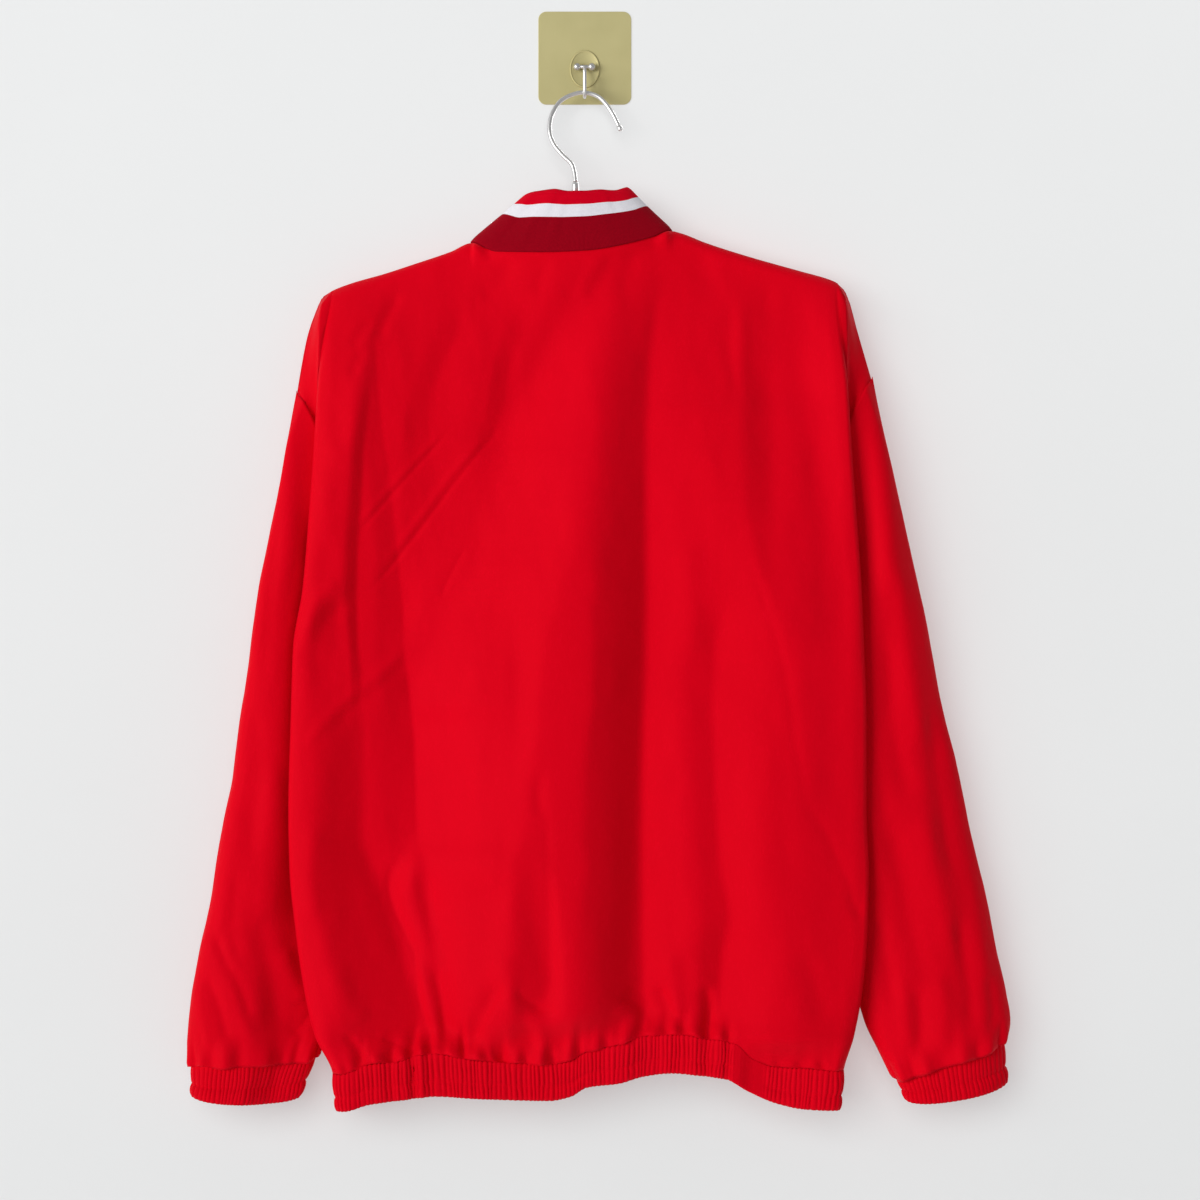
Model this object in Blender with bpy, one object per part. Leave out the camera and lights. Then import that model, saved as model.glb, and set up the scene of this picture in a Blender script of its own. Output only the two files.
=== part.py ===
"""Windbreaker on a hanger, hung from a small wall hook.

Frame: metres, +Z up.  The wall is the plane y = 0 and the origin is the
middle of the wall plate's back.  The garment's back faces -Y, its zipped
front faces the wall, and the wearer's left is -X.
Tables are in millimetres and become metres in the functions that read them.
"""
import math

import bpy
import bmesh
import numpy as np

MM = 0.001

# ---------------------------------------------------------------- sizes (mm)
CLOTH = 1.5             # wall of the woven panels
RIB = 2.5               # wall of the knitted collar
BAND = 2.0              # wall of the elastic bands
SEAM = 0.17             # each piece stops this far short of a seam line
PLY = 0.3               # air between pieces that lie on each other

SEAM_Y = -34.0          # shoulder seam, straight over the hanger's arms
OVER_ARM = 9.0          # half of the cloth's turn over a hanger arm
TIP_EDGE = 217.0        # half width at which the arms end
SIDE_Y = -45.0          # side seams
NECK_CX = -11.4         # middle of the neck
NECK_HALF = 85.6        # half width of the neck seam
NECK_BACK = 20.0        # the neck seam stands this far out behind
NECK_FRONT = 9.5        # and this far towards the wall in front
NECK_DROP = 74.0        # front neck, below the neck points
ROLL = 14.0             # width of the turn at a panel's outer fold
ROLL_BACK = 7.0         # its depth on the back
ROLL_FRONT = 5.0        # and on the fronts

ZIP_HALF = 4.2          # from the zip's middle to a front's edge
TAPE_HALF = 13.0
COIL_HALF = 2.7

# outer folds of the body: half widths at heights
EDGE = [  # z,   left, right, front
    (-205, 217, 217, 217),
    (-240, 222, 219, 216),
    (-285, 227, 224, 215),
    (-340, 230, 227, 215),
    (-400, 234, 231, 217),
    (-460, 239, 235, 220),
    (-510, 247, 237, 223),
    (-570, 249, 239, 226),
    (-650, 251, 239, 228),
    (-700, 250, 241, 228),
    (-750, 245, 240, 226),
    (-800, 238, 236, 222),
    (-840, 229, 229, 219),
    (-875, 214, 220, 214),
]

# how far out the two faces hang
DEPTH = [  # z,  back, front
    (-160, -60, -25),
    (-250, -72, -19),
    (-340, -80, -14),
    (-450, -84, -12),
    (-650, -85, -11.5),
    (-780, -83, -12),
    (-850, -78, -16),
    (-905, -71, -20),
]

# top line: shoulder points from the neck point outwards
SHOULDER_L = [  # x, z
    (-97, -163.5), (-115, -171), (-146, -181.5), (-172, -190), (-200, -198),
    (-217, -204.7), (-225, -210), (-231, -223), (-238, -245), (-246, -291),
]
SHOULDER_R = [
    (74, -153.2), (84, -155.5), (103, -163), (142, -175.5), (185, -187.6),
    (209, -194.4), (217, -198), (223, -204), (228, -216), (233, -236),
    (245, -279),
]
NECK_SEAM = [  # x, z of the back neck seam
    (-97, -163.5), (-76, -172), (-36, -173), (2, -171.5), (34, -166),
    (59, -159), (74, -153.2),
]

# armhole from its top on the shoulder line to the underarm
ARMHOLE = [  # drop below the top, half width, y behind, y in front, lean
    (0, 246, -43, -43, -15),
    (10, 239, -53, -33, 0),
    (34, 227, -58, -30, 0),
    (69, 217, -59, -29, 0),
    (107, 210, -59, -29, 0),
    (144, 205, -59, -29, 5),
    (177, 202, -57, -31, 20),
    (203, 199, -52, -37, 50),
    (219, 196, -45, -45, 80),
]

# side seam under the arm
SIDE = [  # z, left, right, y
    (-510, 196, 196, -45),
    (-545, 186, 186, -45),
    (-600, 180, 180, -45),
    (-720, 180, 182, -45),
    (-790, 190, 192, -45),
    (-840, 203, 208, -45),
    (-873, 208, 217, -45),
]

# hem seam and hem edge, from side to side
HEM = [  # x, seam z, edge z
    (-208, -873, -905),
    (-185, -865, -899),
    (-155, -861, -895),
    (-127, -855, -892),
    (-90, -861, -894),
    (-30, -864, -895.5),
    (-12, -861, -892),
    (2, -853, -884),
    (30, -847, -880.5),
    (50, -840, -875),
    (75, -839, -872),
    (100, -841, -874),
    (122, -845, -877),
    (142, -860, -888),
    (165, -867, -898),
    (190, -868, -903),
    (217, -870, -904),
]

# sleeve sections: outer point, inner point (x as distance from the middle)
SLEEVE_L = [  # outer x, outer z, inner x, inner z, mid y, half depth
    (253, -336, 201, -518, -45, 13),
    (264, -395, 200, -526, -45, 15),
    (278, -466, 198, -542, -45, 17),
    (286, -523, 196, -563, -45, 19),
    (293, -566, 195, -592, -45, 19),
    (300, -622, 194, -634, -45, 19),
    (306, -651, 194, -664, -45, 19),
    (313, -688, 195, -700, -45, 19),
    (319, -727, 199, -737, -45, 19),
    (328, -770, 206, -776, -45, 19),
    (335, -812, 215, -814, -45, 19),
    (337, -845, 223, -841, -45, 18),
    (335, -868, 231, -860, -45, 17),
]
SLEEVE_R = [
    (257, -338, 201, -518, -45, 13),
    (270, -393, 200, -526, -45, 15),
    (281, -443, 199, -540, -45, 17),
    (293, -497, 198, -560, -45, 19),
    (304, -554, 200, -592, -45, 19),
    (318, -611, 205, -636, -45, 19),
    (325, -644, 209, -668, -45, 19),
    (332, -677, 213, -700, -45, 19),
    (344, -727, 220, -745, -45, 19),
    (352, -768, 228, -788, -45, 19),
    (361, -809, 240, -830, -45, 19),
    (363, -830, 254, -857, -45, 18),
    (358, -848, 267, -877, -45, 17),
]
# cuff edge: the same columns, and how far its near side hangs lower
CUFF_L = (336, -891, 243, -893, -45, 16, 8)
CUFF_R = (362, -881, 274, -895, -45, 16, 8)

# largest folds of the back: a valley sinks, a ridge stands out.
# Each runs from x0,z0 over x1,z1 to x2,z2 with a width to either side.
FOLDS_BACK = [  # x0,   z0,   x1,   z1,   x2,   z2, out, left, right
    (-170, -265, -157, -520, -141, -750, -8, 46, 16),    # long fold, left
    (-180, -330, -202, -520, -196, -640, -4, 16, 12),
    (-150, -720, -170, -760, -150, -800, 6, 20, 22),     # bulge over the band
    (63, -215, 57, -530, 58, -830, -12, 72, 15),         # centre trough
    (-25, -610, -20, -740, -14, -800, 5, 12, 16),
    (94, -500, 112, -700, 124, -800, -9, 44, 13),        # right lower fold
    (124, -235, 129, -320, 133, -400, 4, 14, 18),
    (-112, -330, -150, -385, -190, -440, -4, 16, 9),     # pulls from the neck
    (-66, -310, -118, -420, -168, -525, -5, 22, 10),
    (-225, -640, -212, -740, -170, -830, -6, 20, 30),
    (190, -300, 205, -520, 200, -720, 4, 26, 18),
]
FOLDS_FRONT = [
    (-120, -300, -110, -520, -118, -780, -7, 34, 20),
    (-60, -420, -66, -600, -56, -820, 6, 18, 26),
    (130, -290, 118, -540, 126, -790, -8, 22, 36),
    (62, -380, 70, -600, 60, -810, 6, 24, 18),
]


# ------------------------------------------------------------ small helpers
def column(table, i):
    return [row[i] for row in table]


def follow(x, xs, ys):
    """Smooth curve through a table's rows (cubic, no overshoot)."""
    xs, ys = list(xs), list(ys)
    if xs[0] > xs[-1]:
        xs, ys = xs[::-1], ys[::-1]
    if x <= xs[0]:
        return ys[0]
    if x >= xs[-1]:
        return ys[-1]
    i = max(k for k in range(len(xs) - 1) if xs[k] <= x)

    def slope(k):
        if k <= 0 or k >= len(xs) - 1:
            return 0.0
        a = (ys[k] - ys[k - 1]) / (xs[k] - xs[k - 1])
        b = (ys[k + 1] - ys[k]) / (xs[k + 1] - xs[k])
        return 0.0 if a * b <= 0 else 2 * a * b / (a + b)

    h = xs[i + 1] - xs[i]
    t = (x - xs[i]) / h
    m0, m1 = slope(i) * h, slope(i + 1) * h
    return ((2 * t**3 - 3 * t**2 + 1) * ys[i] + (t**3 - 2 * t**2 + t) * m0
            + (3 * t**2 - 2 * t**3) * ys[i + 1] + (t**3 - t**2) * m1)


def unit(v):
    v = np.asarray(v, float)
    n = np.linalg.norm(v)
    return v / n if n > 1e-12 else v


def mix(a, b, t):
    return a + (b - a) * t


def step(t):
    t = min(max(t, 0.0), 1.0)
    return t * t * (3 - 2 * t)


def bezier(p0, p1, p2, p3, t):
    s = 1 - t
    return s**3 * p0 + 3 * s * s * t * p1 + 3 * s * t * t * p2 + t**3 * p3


# ----------------------------------------------------------------- sections
def edge(z, side):
    return follow(z, column(EDGE, 0), column(EDGE, 1 if side < 0 else 2))


def front_edge(z, side):
    return follow(z, column(EDGE, 0), column(EDGE, 3))


def fold_sum(folds, x, z):
    """How far the folds move the cloth out at x, z."""
    total = 0.0
    for x0, z0, x1, z1, x2, z2, out, left, right in folds:
        if z > z0 + 40 or z < z2 - 40:
            continue
        xm = follow(z, (z0, z1, z2), (x0, x1, x2))
        span = z0 - z2
        t = (z0 - z) / span
        fade = step((t + 0.12) / 0.3) * step((1.12 - t) / 0.3)
        w = left if x < xm else right
        total += out * fade * math.exp(-((x - xm) / w) ** 2)
    return total


def face_y(x, z, d, top_y, over, behind, limit, folds):
    """y of a panel's outer face, d below its top edge."""
    sign = -1 if behind else 1
    deep = follow(z, column(DEPTH, 0), column(DEPTH, 1 if behind else 2))
    q = math.sqrt(max(0.0, 1 - (1 - min(d / OVER_ARM, 1)) ** 2))
    start = top_y + sign * OVER_ARM * over
    y = top_y + sign * OVER_ARM * over * q
    fall = mix(100.0, 48.0, step((abs(x) - 140.0) / 60.0))      # steeper past the arm's tip
    y += (deep - start) * (1 - math.exp(-d / fall))
    crown = 1 - 0.07 * (x / limit) ** 2
    y = SEAM_Y + (y - SEAM_Y) * crown
    r = (abs(x) - limit + ROLL) / ROLL
    if r > 0:
        r = min(r, 1.0)
        y -= sign * (ROLL_BACK if behind else ROLL_FRONT) * (1 - math.sqrt(1 - r * r)) * (1 - math.exp(-d / 30.0))
    calm = (1 - math.exp(-d / 60.0)) * step((limit - abs(x)) / 22.0)
    calm *= step((z + 880) / 60.0)
    return y + sign * fold_sum(folds, x, z) * calm


def top_point(x, side):
    table = SHOULDER_L if side < 0 else SHOULDER_R
    return follow(x, column(table, 0), column(table, 1))


def shoulder_strip(side, f):
    """Point of the shoulder line past the arm's tip, f from 0 to 1."""
    table = SHOULDER_L if side < 0 else SHOULDER_R
    pts = [p for p in table if abs(p[0]) >= TIP_EDGE]
    lens = [0.0]
    for a, b in zip(pts, pts[1:]):
        lens.append(lens[-1] + math.hypot(b[0] - a[0], b[1] - a[1]))
    s = f * lens[-1]
    x = follow(s, lens, [abs(p[0]) for p in pts]) * side
    z = follow(s, lens, [p[1] for p in pts])
    y = mix(SEAM_Y, ARMHOLE[0][2], step(f))
    return np.array([x, y, z])


def armhole(side, j, behind):
    drop, x, yb, yf, lean = ARMHOLE[j]
    top = -291.0 if side < 0 else -279.0
    z = top - drop * ((-top) and (510.0 + top) / 219.0)
    y = yb if behind else yf
    a = math.radians(lean)
    return np.array([x * side, y, z]), np.array([-side * math.cos(a), 0.0, math.sin(a)])


def side_seam(side, z):
    x = follow(z, column(SIDE, 0), column(SIDE, 1 if side < 0 else 2))
    return np.array([x * side, SIDE_Y, z])


def hem_z(x, i=1):
    return follow(x, column(HEM, 0), column(HEM, i))


ARM_ROWS = len(ARMHOLE) - 1
ELBOW_ROW = 6           # the sleeve's row at the elbow
ROWS = ARM_ROWS + 11
RETURN = 4              # columns from the outer fold to the side
TOP_ROWS = [0, 1.6, 5, 10, 21, 42, 72, 106, 145]
NECK_L = -97 / TIP_EDGE
NECK_R = 74 / TIP_EDGE


def row_share(j, centre):
    """Share of a column's height at row j."""
    if centre:
        if j <= ARM_ROWS:
            return TOP_ROWS[j] / 700.0
        t = (j - ARM_ROWS) / (ROWS - ARM_ROWS)
        return mix(TOP_ROWS[-1] / 700.0, 1.0, t)
    return None


def turn_columns(a, b, n):
    return [mix(a, b, i / n) for i in range(n)]


def body_grid(behind, folds, shares, half=None):
    """Outer face of a panel: rows down, columns from -X to +X.

    shares are the columns' places across as shares of the outer fold's
    half width; RETURN more columns run on round each fold to the side.
    """
    cols = []
    lim = edge if behind else front_edge
    sides = (-1, 1) if half is None else (half,)
    for side in sides:
        strip = []
        for k in range(1, RETURN + 1):
            f = k / RETURN
            tp = shoulder_strip(side, f)
            col = []
            top_arm, _ = armhole(side, 0, behind)
            zb = hem_z(side_seam(side, -873)[0])
            for j in range(ROWS + 1):
                if j <= ARM_ROWS:
                    zu, _ = armhole(side, j, behind)
                    zu = zu[2]
                else:
                    under = armhole(side, ARM_ROWS, behind)[0][2]
                    zu = mix(under, zb, (j - ARM_ROWS) / (ROWS - ARM_ROWS))
                zc = mix(tp[2], zb, row_share(j, True))
                z = mix(zc, zu, f if f < 1 else 1.0)
                z0 = top_arm[2]
                zz = min(z, z0)
                x_e = lim(zz, side)
                e = np.array([x_e * side,
                              face_y(x_e, zz, max(0.0, top_point(TIP_EDGE * side, side) - zz),
                                     SEAM_Y, 1.0, behind, x_e, folds), zz])
                b = boundary(side, zz, behind)
                sgn = -1 if behind else 1
                p1 = e + np.array([0, -sgn * 2.5, 0])
                p2 = np.array([b[0], e[1] - sgn * 3.5, zz])
                p = bezier(e, p1, p2, b, f)
                if z > z0:
                    t = (tp[2] - z) / max(tp[2] - z0, 1e-6)
                    if f < 1:
                        t = min(max(t, 0.0), 1.0)
                        y = mix(tp[1], p[1], math.sqrt(1 - (1 - t) ** 2))
                        p = mix(tp, p, t)
                        p[1] = y
                    p[2] = z
                    if j == 0:
                        p = tp.copy()
                if f == 1:
                    if j <= ARM_ROWS:
                        p = armhole(side, j, behind)[0]
                    else:
                        p = side_seam(side, z)
                col.append(p)
            strip.append(col)
        if side < 0:
            cols = strip[::-1]
            right_part = None
        else:
            right_part = strip
    flat = []
    for s in shares:
        side = -1 if s < 0 else 1
        x_top = s * TIP_EDGE
        neck = NECK_L <= s <= NECK_R
        if neck and behind:
            zt = follow(x_top, column(NECK_SEAM, 0), column(NECK_SEAM, 1))
            u = (x_top - NECK_CX) / NECK_HALF
            yt = SEAM_Y - NECK_BACK * math.sqrt(max(0.0, 1 - min(1.0, u * u)))
            over = 0.0 if abs(u) < 0.97 else 1.0
        elif neck:
            x_top, yt, zt = front_neck(x_top, half)
            over = 0.0 if abs((x_top - NECK_CX) / NECK_HALF) < 0.97 else 1.0
        else:
            zt, yt, over = top_point(x_top, side), SEAM_Y, 1.0
        col = []
        for j in range(ROWS + 1):
            share = row_share(j, True)
            x_guess = s * lim(-870, side)
            zb = hem_z(x_guess)
            z = mix(zt, zb, share)
            limit = lim(z, side)
            x = s * limit
            at_zip = not behind and s == (shares[-1] if half < 0 else shares[0])
            if at_zip:
                x = zip_x(z) + half * ZIP_HALF
            elif neck and not behind:
                x = mix(x_top, x, min(1.0, (zt - z) / 60.0))
            y = face_y(x, z, zt - z, yt, over, behind, limit, folds)
            if j == 0:
                y = yt
            col.append(np.array([x, y, z]))
        flat.append(col)
    out = []
    if half is None:
        out = cols + flat + right_part
    elif half < 0:
        out = cols + flat
    else:
        out = flat + right_part
    return np.array(out).transpose(1, 0, 2)     # rows, columns, xyz


def boundary(side, z, behind):
    """Side boundary at height z: armhole above, side seam below."""
    zs, xs, ys = [], [], []
    for j in range(len(ARMHOLE)):
        p, _ = armhole(side, j, behind)
        zs.append(p[2])
        xs.append(p[0])
        ys.append(p[1])
    if z >= zs[-1]:
        return np.array([follow(z, zs, xs), follow(z, zs, ys), z])
    return side_seam(side, z)


def zip_x(z):
    """Middle of the front at height z."""
    return follow(z, (-905, -235, -150), (4.0, -9.0, -9.0))


def front_neck(x_top, side):
    """Point of the front neck seam over the share of the neck at x_top."""
    u = (x_top - NECK_CX) / NECK_HALF
    u = min(max(u, -1.0), 1.0)
    a = math.acos(abs(u))
    zn = -163.5 if side < 0 else -153.2
    x = NECK_CX + NECK_HALF * u
    if abs(x - zip_x(-235)) < ZIP_HALF + 0.5:
        x = zip_x(-235) + side * ZIP_HALF
        a = math.pi / 2
    z = mix(zn, -163.5 - NECK_DROP, math.sin(a) ** 1.3)
    d = min(1.0, (zn - z) / 11.0)       # first over the arm, then down before it
    y = SEAM_Y + NECK_FRONT * math.sqrt(1 - (1 - d) ** 2)
    return x, y, z


# ------------------------------------------------------------------- solids
def mesh_object(name, verts, faces, colour, rough, metal=0.0, smooth=True):
    me = bpy.data.meshes.new(name)
    me.from_pydata([tuple(float(c) * MM for c in v) for v in verts], [], faces)
    bm = bmesh.new()
    bm.from_mesh(me)
    bmesh.ops.recalc_face_normals(bm, faces=bm.faces)
    bm.to_mesh(me)
    bm.free()
    ob = bpy.data.objects.new(name, me)
    bpy.context.scene.collection.objects.link(ob)
    mat = bpy.data.materials.new(name)
    mat.use_nodes = True
    bsdf = mat.node_tree.nodes["Principled BSDF"]
    bsdf.inputs["Base Color"].default_value = (*colour, 1.0)
    bsdf.inputs["Roughness"].default_value = rough
    bsdf.inputs["Metallic"].default_value = metal
    me.materials.append(mat)
    if smooth:
        me.shade_smooth()
        me.set_sharp_from_angle(angle=math.radians(40))
    return ob


def face_normals(grid, wrap=False):
    """Unit normals of a grid of points by central differences."""
    r, c, _ = grid.shape
    out = np.zeros_like(grid)
    for i in range(r):
        for k in range(c):
            up = grid[max(i - 1, 0), k]
            dn = grid[min(i + 1, r - 1), k]
            if wrap:
                lf, rt = grid[i, (k - 1) % c], grid[i, (k + 1) % c]
            else:
                lf, rt = grid[i, max(k - 1, 0)], grid[i, min(k + 1, c - 1)]
            out[i, k] = unit(np.cross(rt - lf, dn - up))
    return out


def wall(name, outer, inner, colour, rough, wrap=False):
    """One closed body between two grids of points."""
    r, c, _ = outer.shape
    verts = list(outer.reshape(-1, 3)) + list(inner.reshape(-1, 3))
    n = r * c
    faces = []
    last = c if wrap else c - 1
    for i in range(r - 1):
        for k in range(last):
            a, b = i * c + k, i * c + (k + 1) % c
            d, e = a + c, b + c
            faces.append((a, b, e, d))
            faces.append((n + a, n + d, n + e, n + b))
    for k in range(last):
        a, b = k, (k + 1) % c
        faces.append((a, n + a, n + b, b))
        a, b = (r - 1) * c + k, (r - 1) * c + (k + 1) % c
        faces.append((a, b, n + b, n + a))
    if not wrap:
        for i in range(r - 1):
            a, d = i * c, (i + 1) * c
            faces.append((a, d, n + d, n + a))
            a, d = i * c + c - 1, (i + 1) * c + c - 1
            faces.append((a, n + a, n + d, d))
    return mesh_object(name, verts, faces, colour, rough)


RED = (0.62, 0.002, 0.012)


def spread(a, b, n):
    return [mix(a, b, i / n) for i in range(n + 1)]


def seam_shift(grid, inner, index, tangent_pts, inward, sign):
    """Set an edge's inner points and draw the edge back from its seam."""
    n = len(tangent_pts)
    for i in range(n):
        t = unit(tangent_pts[min(i + 1, n - 1)] - tangent_pts[max(i - 1, 0)])
        away = unit(np.cross(t, inward[i])) * sign * SEAM
        grid[index[i]] += away
        inner[index[i]] += away


def neck_seam_turn(p, before, after, want):
    """Directions of the wall, and of the gap, at a point of the neck seam."""
    into = unit(np.array([0.35 * (NECK_CX - p[0]) / NECK_HALF, want, 0.0]))
    away = unit(np.cross(unit(after - before), into))
    if np.dot(away, p - np.array([NECK_CX, p[1], -130.0])) < 0:
        away = -away
    return into, away


def panel(name, behind, folds, shares, half=None):
    grid = body_grid(behind, folds, shares, half)
    plain_top = grid[0].copy()
    rows, cols, _ = grid.shape
    nrm = face_normals(grid)
    centre = np.array([0.0, SEAM_Y - 10, 0.0])
    inner = np.zeros_like(grid)
    want = 1 if behind else -1          # towards the hollow
    mid_col = cols // 2
    flip = 1 if nrm[rows // 2, mid_col][1] * want > 0 else -1
    nrm = nrm * flip
    inner = grid + nrm * CLOTH

    # top edge: over the arms and round the neck
    top = [grid[0, k].copy() for k in range(cols)]
    for k in range(cols):
        p = grid[0, k]
        if -96.9 < p[0] < 73.9:
            near = [q for q in (top[max(k - 1, 0)], top[min(k + 1, cols - 1)])
                    if -97.1 < q[0] < 74.1]
            into, away = neck_seam_turn(p, near[0], near[-1], want)
            inner[0, k] = p + into * CLOTH
            grid[0, k] += away * SEAM
            inner[0, k] += away * SEAM
        else:
            a = top[max(k - 1, 0)]
            b = top[min(k + 1, cols - 1)]
            t = unit(np.array([b[0] - a[0], 0, b[2] - a[2]]))
            into = np.array([t[2], 0, -t[0]]) if t[0] > 0 else np.array([-t[2], 0, t[0]])
            if into[2] > 0:
                into = -into
            inner[0, k] = p + into * CLOTH
            shift = np.array([0.0, -SEAM * want, 0.0])
            if min(abs(p[0] + 97), abs(p[0] - 74)) < 0.1:
                into = np.array([0.0, 0.0, -1.0])
                inner[0, k] = p + into * CLOTH
                shift += np.array([math.copysign(SEAM, p[0] - NECK_CX), 0, -SEAM])
            grid[0, k] = p + shift
            inner[0, k] += shift

    # side edges: armhole and side seam
    for side, k in ((-1, 0), (1, cols - 1)):
        if half is not None and side != half:
            continue
        pts = [grid[j, k].copy() for j in range(rows)]
        pts[0] = armhole(side, 0, behind)[0]
        for j in range(rows):
            if j < ARM_ROWS:
                into = armhole(side, j, behind)[1]
            elif j == ARM_ROWS:
                into = unit(np.array([-side * 0.5, 0, 0.85]))
            else:
                into = np.array([-side, 0.0, 0.0])
            t = unit(pts[min(j + 1, rows - 1)] - pts[max(j - 1, 0)])
            if j == 0:
                t = unit(np.array([0, -want, -0.3]))
            away = unit(np.cross(t, into))
            if away[1] * want > 0 and j > 1:
                away = -away
            if j <= 1 and away[2] < 0:
                away = -away
            if j == ARM_ROWS:
                away = unit(np.array([-side * 0.8, -want * 0.8, 0]))
            inner[j, k] = pts[j] + into * CLOTH
            shift = away * SEAM
            if j == 0:
                shift = shift + np.array([0, -want * SEAM, 0])
            grid[j, k] = pts[j] + shift
            inner[j, k] = inner[j, k] + shift

    # hem edge
    for k in range(cols):
        p = grid[-1, k]
        n = nrm[-1, k].copy()
        n[2] = 0
        n = unit(n)
        if k in (0, cols - 1) and not (half is not None and ((half < 0 and k) or (half > 0 and not k))):
            n = np.array([1.0 if k == 0 else -1.0, 0, 0])
        inner[-1, k] = p + n * CLOTH
        grid[-1, k][2] += SEAM
        inner[-1, k][2] += SEAM

    # zip edge
    if half is not None:
        k = cols - 1 if half < 0 else 0
        for j in range(rows):
            inner[j, k] = grid[j, k] + np.array([0, -CLOTH, 0])
    wall(name, grid, inner, RED, 0.55)
    return grid, plain_top


def sleeve_ring(row, side, count, hang=0.0):
    ox, oz, ix, iz, y, deep = row[:6]
    mid = np.array([(ox + ix) / 2 * side, y, (oz + iz) / 2])
    arm = np.array([(ox - ix) / 2 * side, 0, (oz - iz) / 2])
    pts = []
    for i in range(count):
        a = 2 * math.pi * i / count
        c, s = math.cos(a), math.sin(a)
        ce = math.copysign(abs(c) ** 0.85, c)
        se = math.copysign(abs(s) ** 0.85, s)
        p = mid + arm * ce + np.array([0, -deep * se, 0])
        p[2] -= hang * max(0.0, s)
        pts.append(p)
    return np.array(pts)


def sleeve(name, cuff_name, side, table, cuff_row):
    count = 2 * ARM_ROWS
    loop, into0 = [], []
    for i in range(count):
        j = i if i <= ARM_ROWS else count - i
        p, d = armhole(side, j, i <= ARM_ROWS)
        if j == 0:
            d = unit(np.array([-side, 0, -0.3]))
        if j == ARM_ROWS:
            d = unit(np.array([-side * 0.5, 0, 0.85]))
        loop.append(p)
        into0.append(d)
    loop, into0 = np.array(loop), np.array(into0)
    rings = [loop]
    for row in table:
        rings.append(sleeve_ring(row, side, count))
    grid = np.array(rings)
    nrm = face_normals(grid, True)
    if nrm[6, 0][0] * side > 0:
        nrm = -nrm
    inner = grid + nrm * CLOTH
    inner[0] = loop + into0 * CLOTH
    for i in range(count):
        t = unit(loop[(i + 1) % count] - loop[(i - 1) % count])
        away = unit(np.cross(t, into0[i]))
        ref = np.array([0, 1 if 0 < i < ARM_ROWS else -1, 0])
        if i == 0:
            ref = np.array([0, 0, -1])
        if i == ARM_ROWS:
            ref = np.array([side, 0, 0])
        if np.dot(away, ref) < 0:
            away = -away
        grid[0, i] = loop[i] + away * SEAM
        inner[0, i] += away * SEAM
    end = grid[-1].copy()
    mid = end.mean(axis=0)
    axis = unit(grid[-1].mean(axis=0) - grid[-2].mean(axis=0))
    for i in range(count):
        d = mid - end[i]
        d = unit(d - axis * np.dot(d, axis))
        inner[-1, i] = end[i] + d * CLOTH
        grid[-1, i] = grid[-1, i] - axis * SEAM
        inner[-1, i] = inner[-1, i] - axis * SEAM
    # two solids that meet at the elbow, so that each follows its own bend
    at = ELBOW_ROW
    slope = unit(grid[at + 1].mean(axis=0) - grid[at - 1].mean(axis=0))
    for low, part_name in ((False, name), (True, name + "_lower")):
        outer_part = (grid[at:] if low else grid[:at + 1]).copy()
        inner_part = (inner[at:] if low else inner[:at + 1]).copy()
        row = 0 if low else -1
        shift = slope * (SEAM if low else -SEAM)
        outer_part[row] += shift
        inner_part[row] += shift
        wall(part_name, outer_part, inner_part, RED, 0.55, True)

    # cuff: the same ring drawn in to the elastic edge
    low = sleeve_ring(cuff_row, side, count, cuff_row[6])
    half_way = mix(end, low, 0.5)
    half_way = half_way.mean(axis=0) + (half_way - half_way.mean(axis=0)) * 0.97
    cg = np.array([end + axis * SEAM, half_way, low])
    ci = np.zeros_like(cg)
    for r in range(3):
        m = cg[r].mean(axis=0)
        for i in range(count):
            d = m - cg[r, i]
            d = unit(d - axis * np.dot(d, axis))
            ci[r, i] = cg[r, i] + d * BAND
    wall(cuff_name, cg, ci, RED, 0.6, True)


def swept(name, path, profile, colour, rough, metal=0.0, frames=None):
    """A closed profile carried along a path of points, capped at both ends."""
    path = [np.asarray(p, float) for p in path]
    rings = []
    n = len(path)
    for i, p in enumerate(path):
        if frames is None:
            t = unit(path[min(i + 1, n - 1)] - path[max(i - 1, 0)])
            side = np.array([1.0, 0, 0]) if abs(t[0]) < 0.8 else np.array([0, 1.0, 0])
            u = unit(side - t * np.dot(side, t))
            v = np.cross(t, u)
        else:
            u, v = frames[i]
        rings.append([p + u * a + v * b for a, b in profile])
    m = len(profile)
    verts = [q for ring in rings for q in ring]
    faces = []
    for i in range(n - 1):
        for k in range(m):
            a, b = i * m + k, i * m + (k + 1) % m
            faces.append((a, b, b + m, a + m))
    faces.append(tuple(range(m)))
    faces.append(tuple((n - 1) * m + k for k in range(m)))
    return mesh_object(name, verts, faces, colour, rough, metal)


def circle(r, n):
    return [(r * math.cos(2 * math.pi * k / n), r * math.sin(2 * math.pi * k / n)) for k in range(n)]


def clear_scene():
    for ob in list(bpy.data.objects):
        bpy.data.objects.remove(ob, do_unlink=True)


def rod_frames(path, side):
    """Frames for a profile swept along a path, side kept near to level."""
    out = []
    n = len(path)
    for i in range(n):
        t = unit(path[min(i + 1, n - 1)] - path[max(i - 1, 0)])
        u = unit(np.asarray(side, float) - t * np.dot(side, t))
        out.append((u, np.cross(t, u)))
    return out


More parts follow.
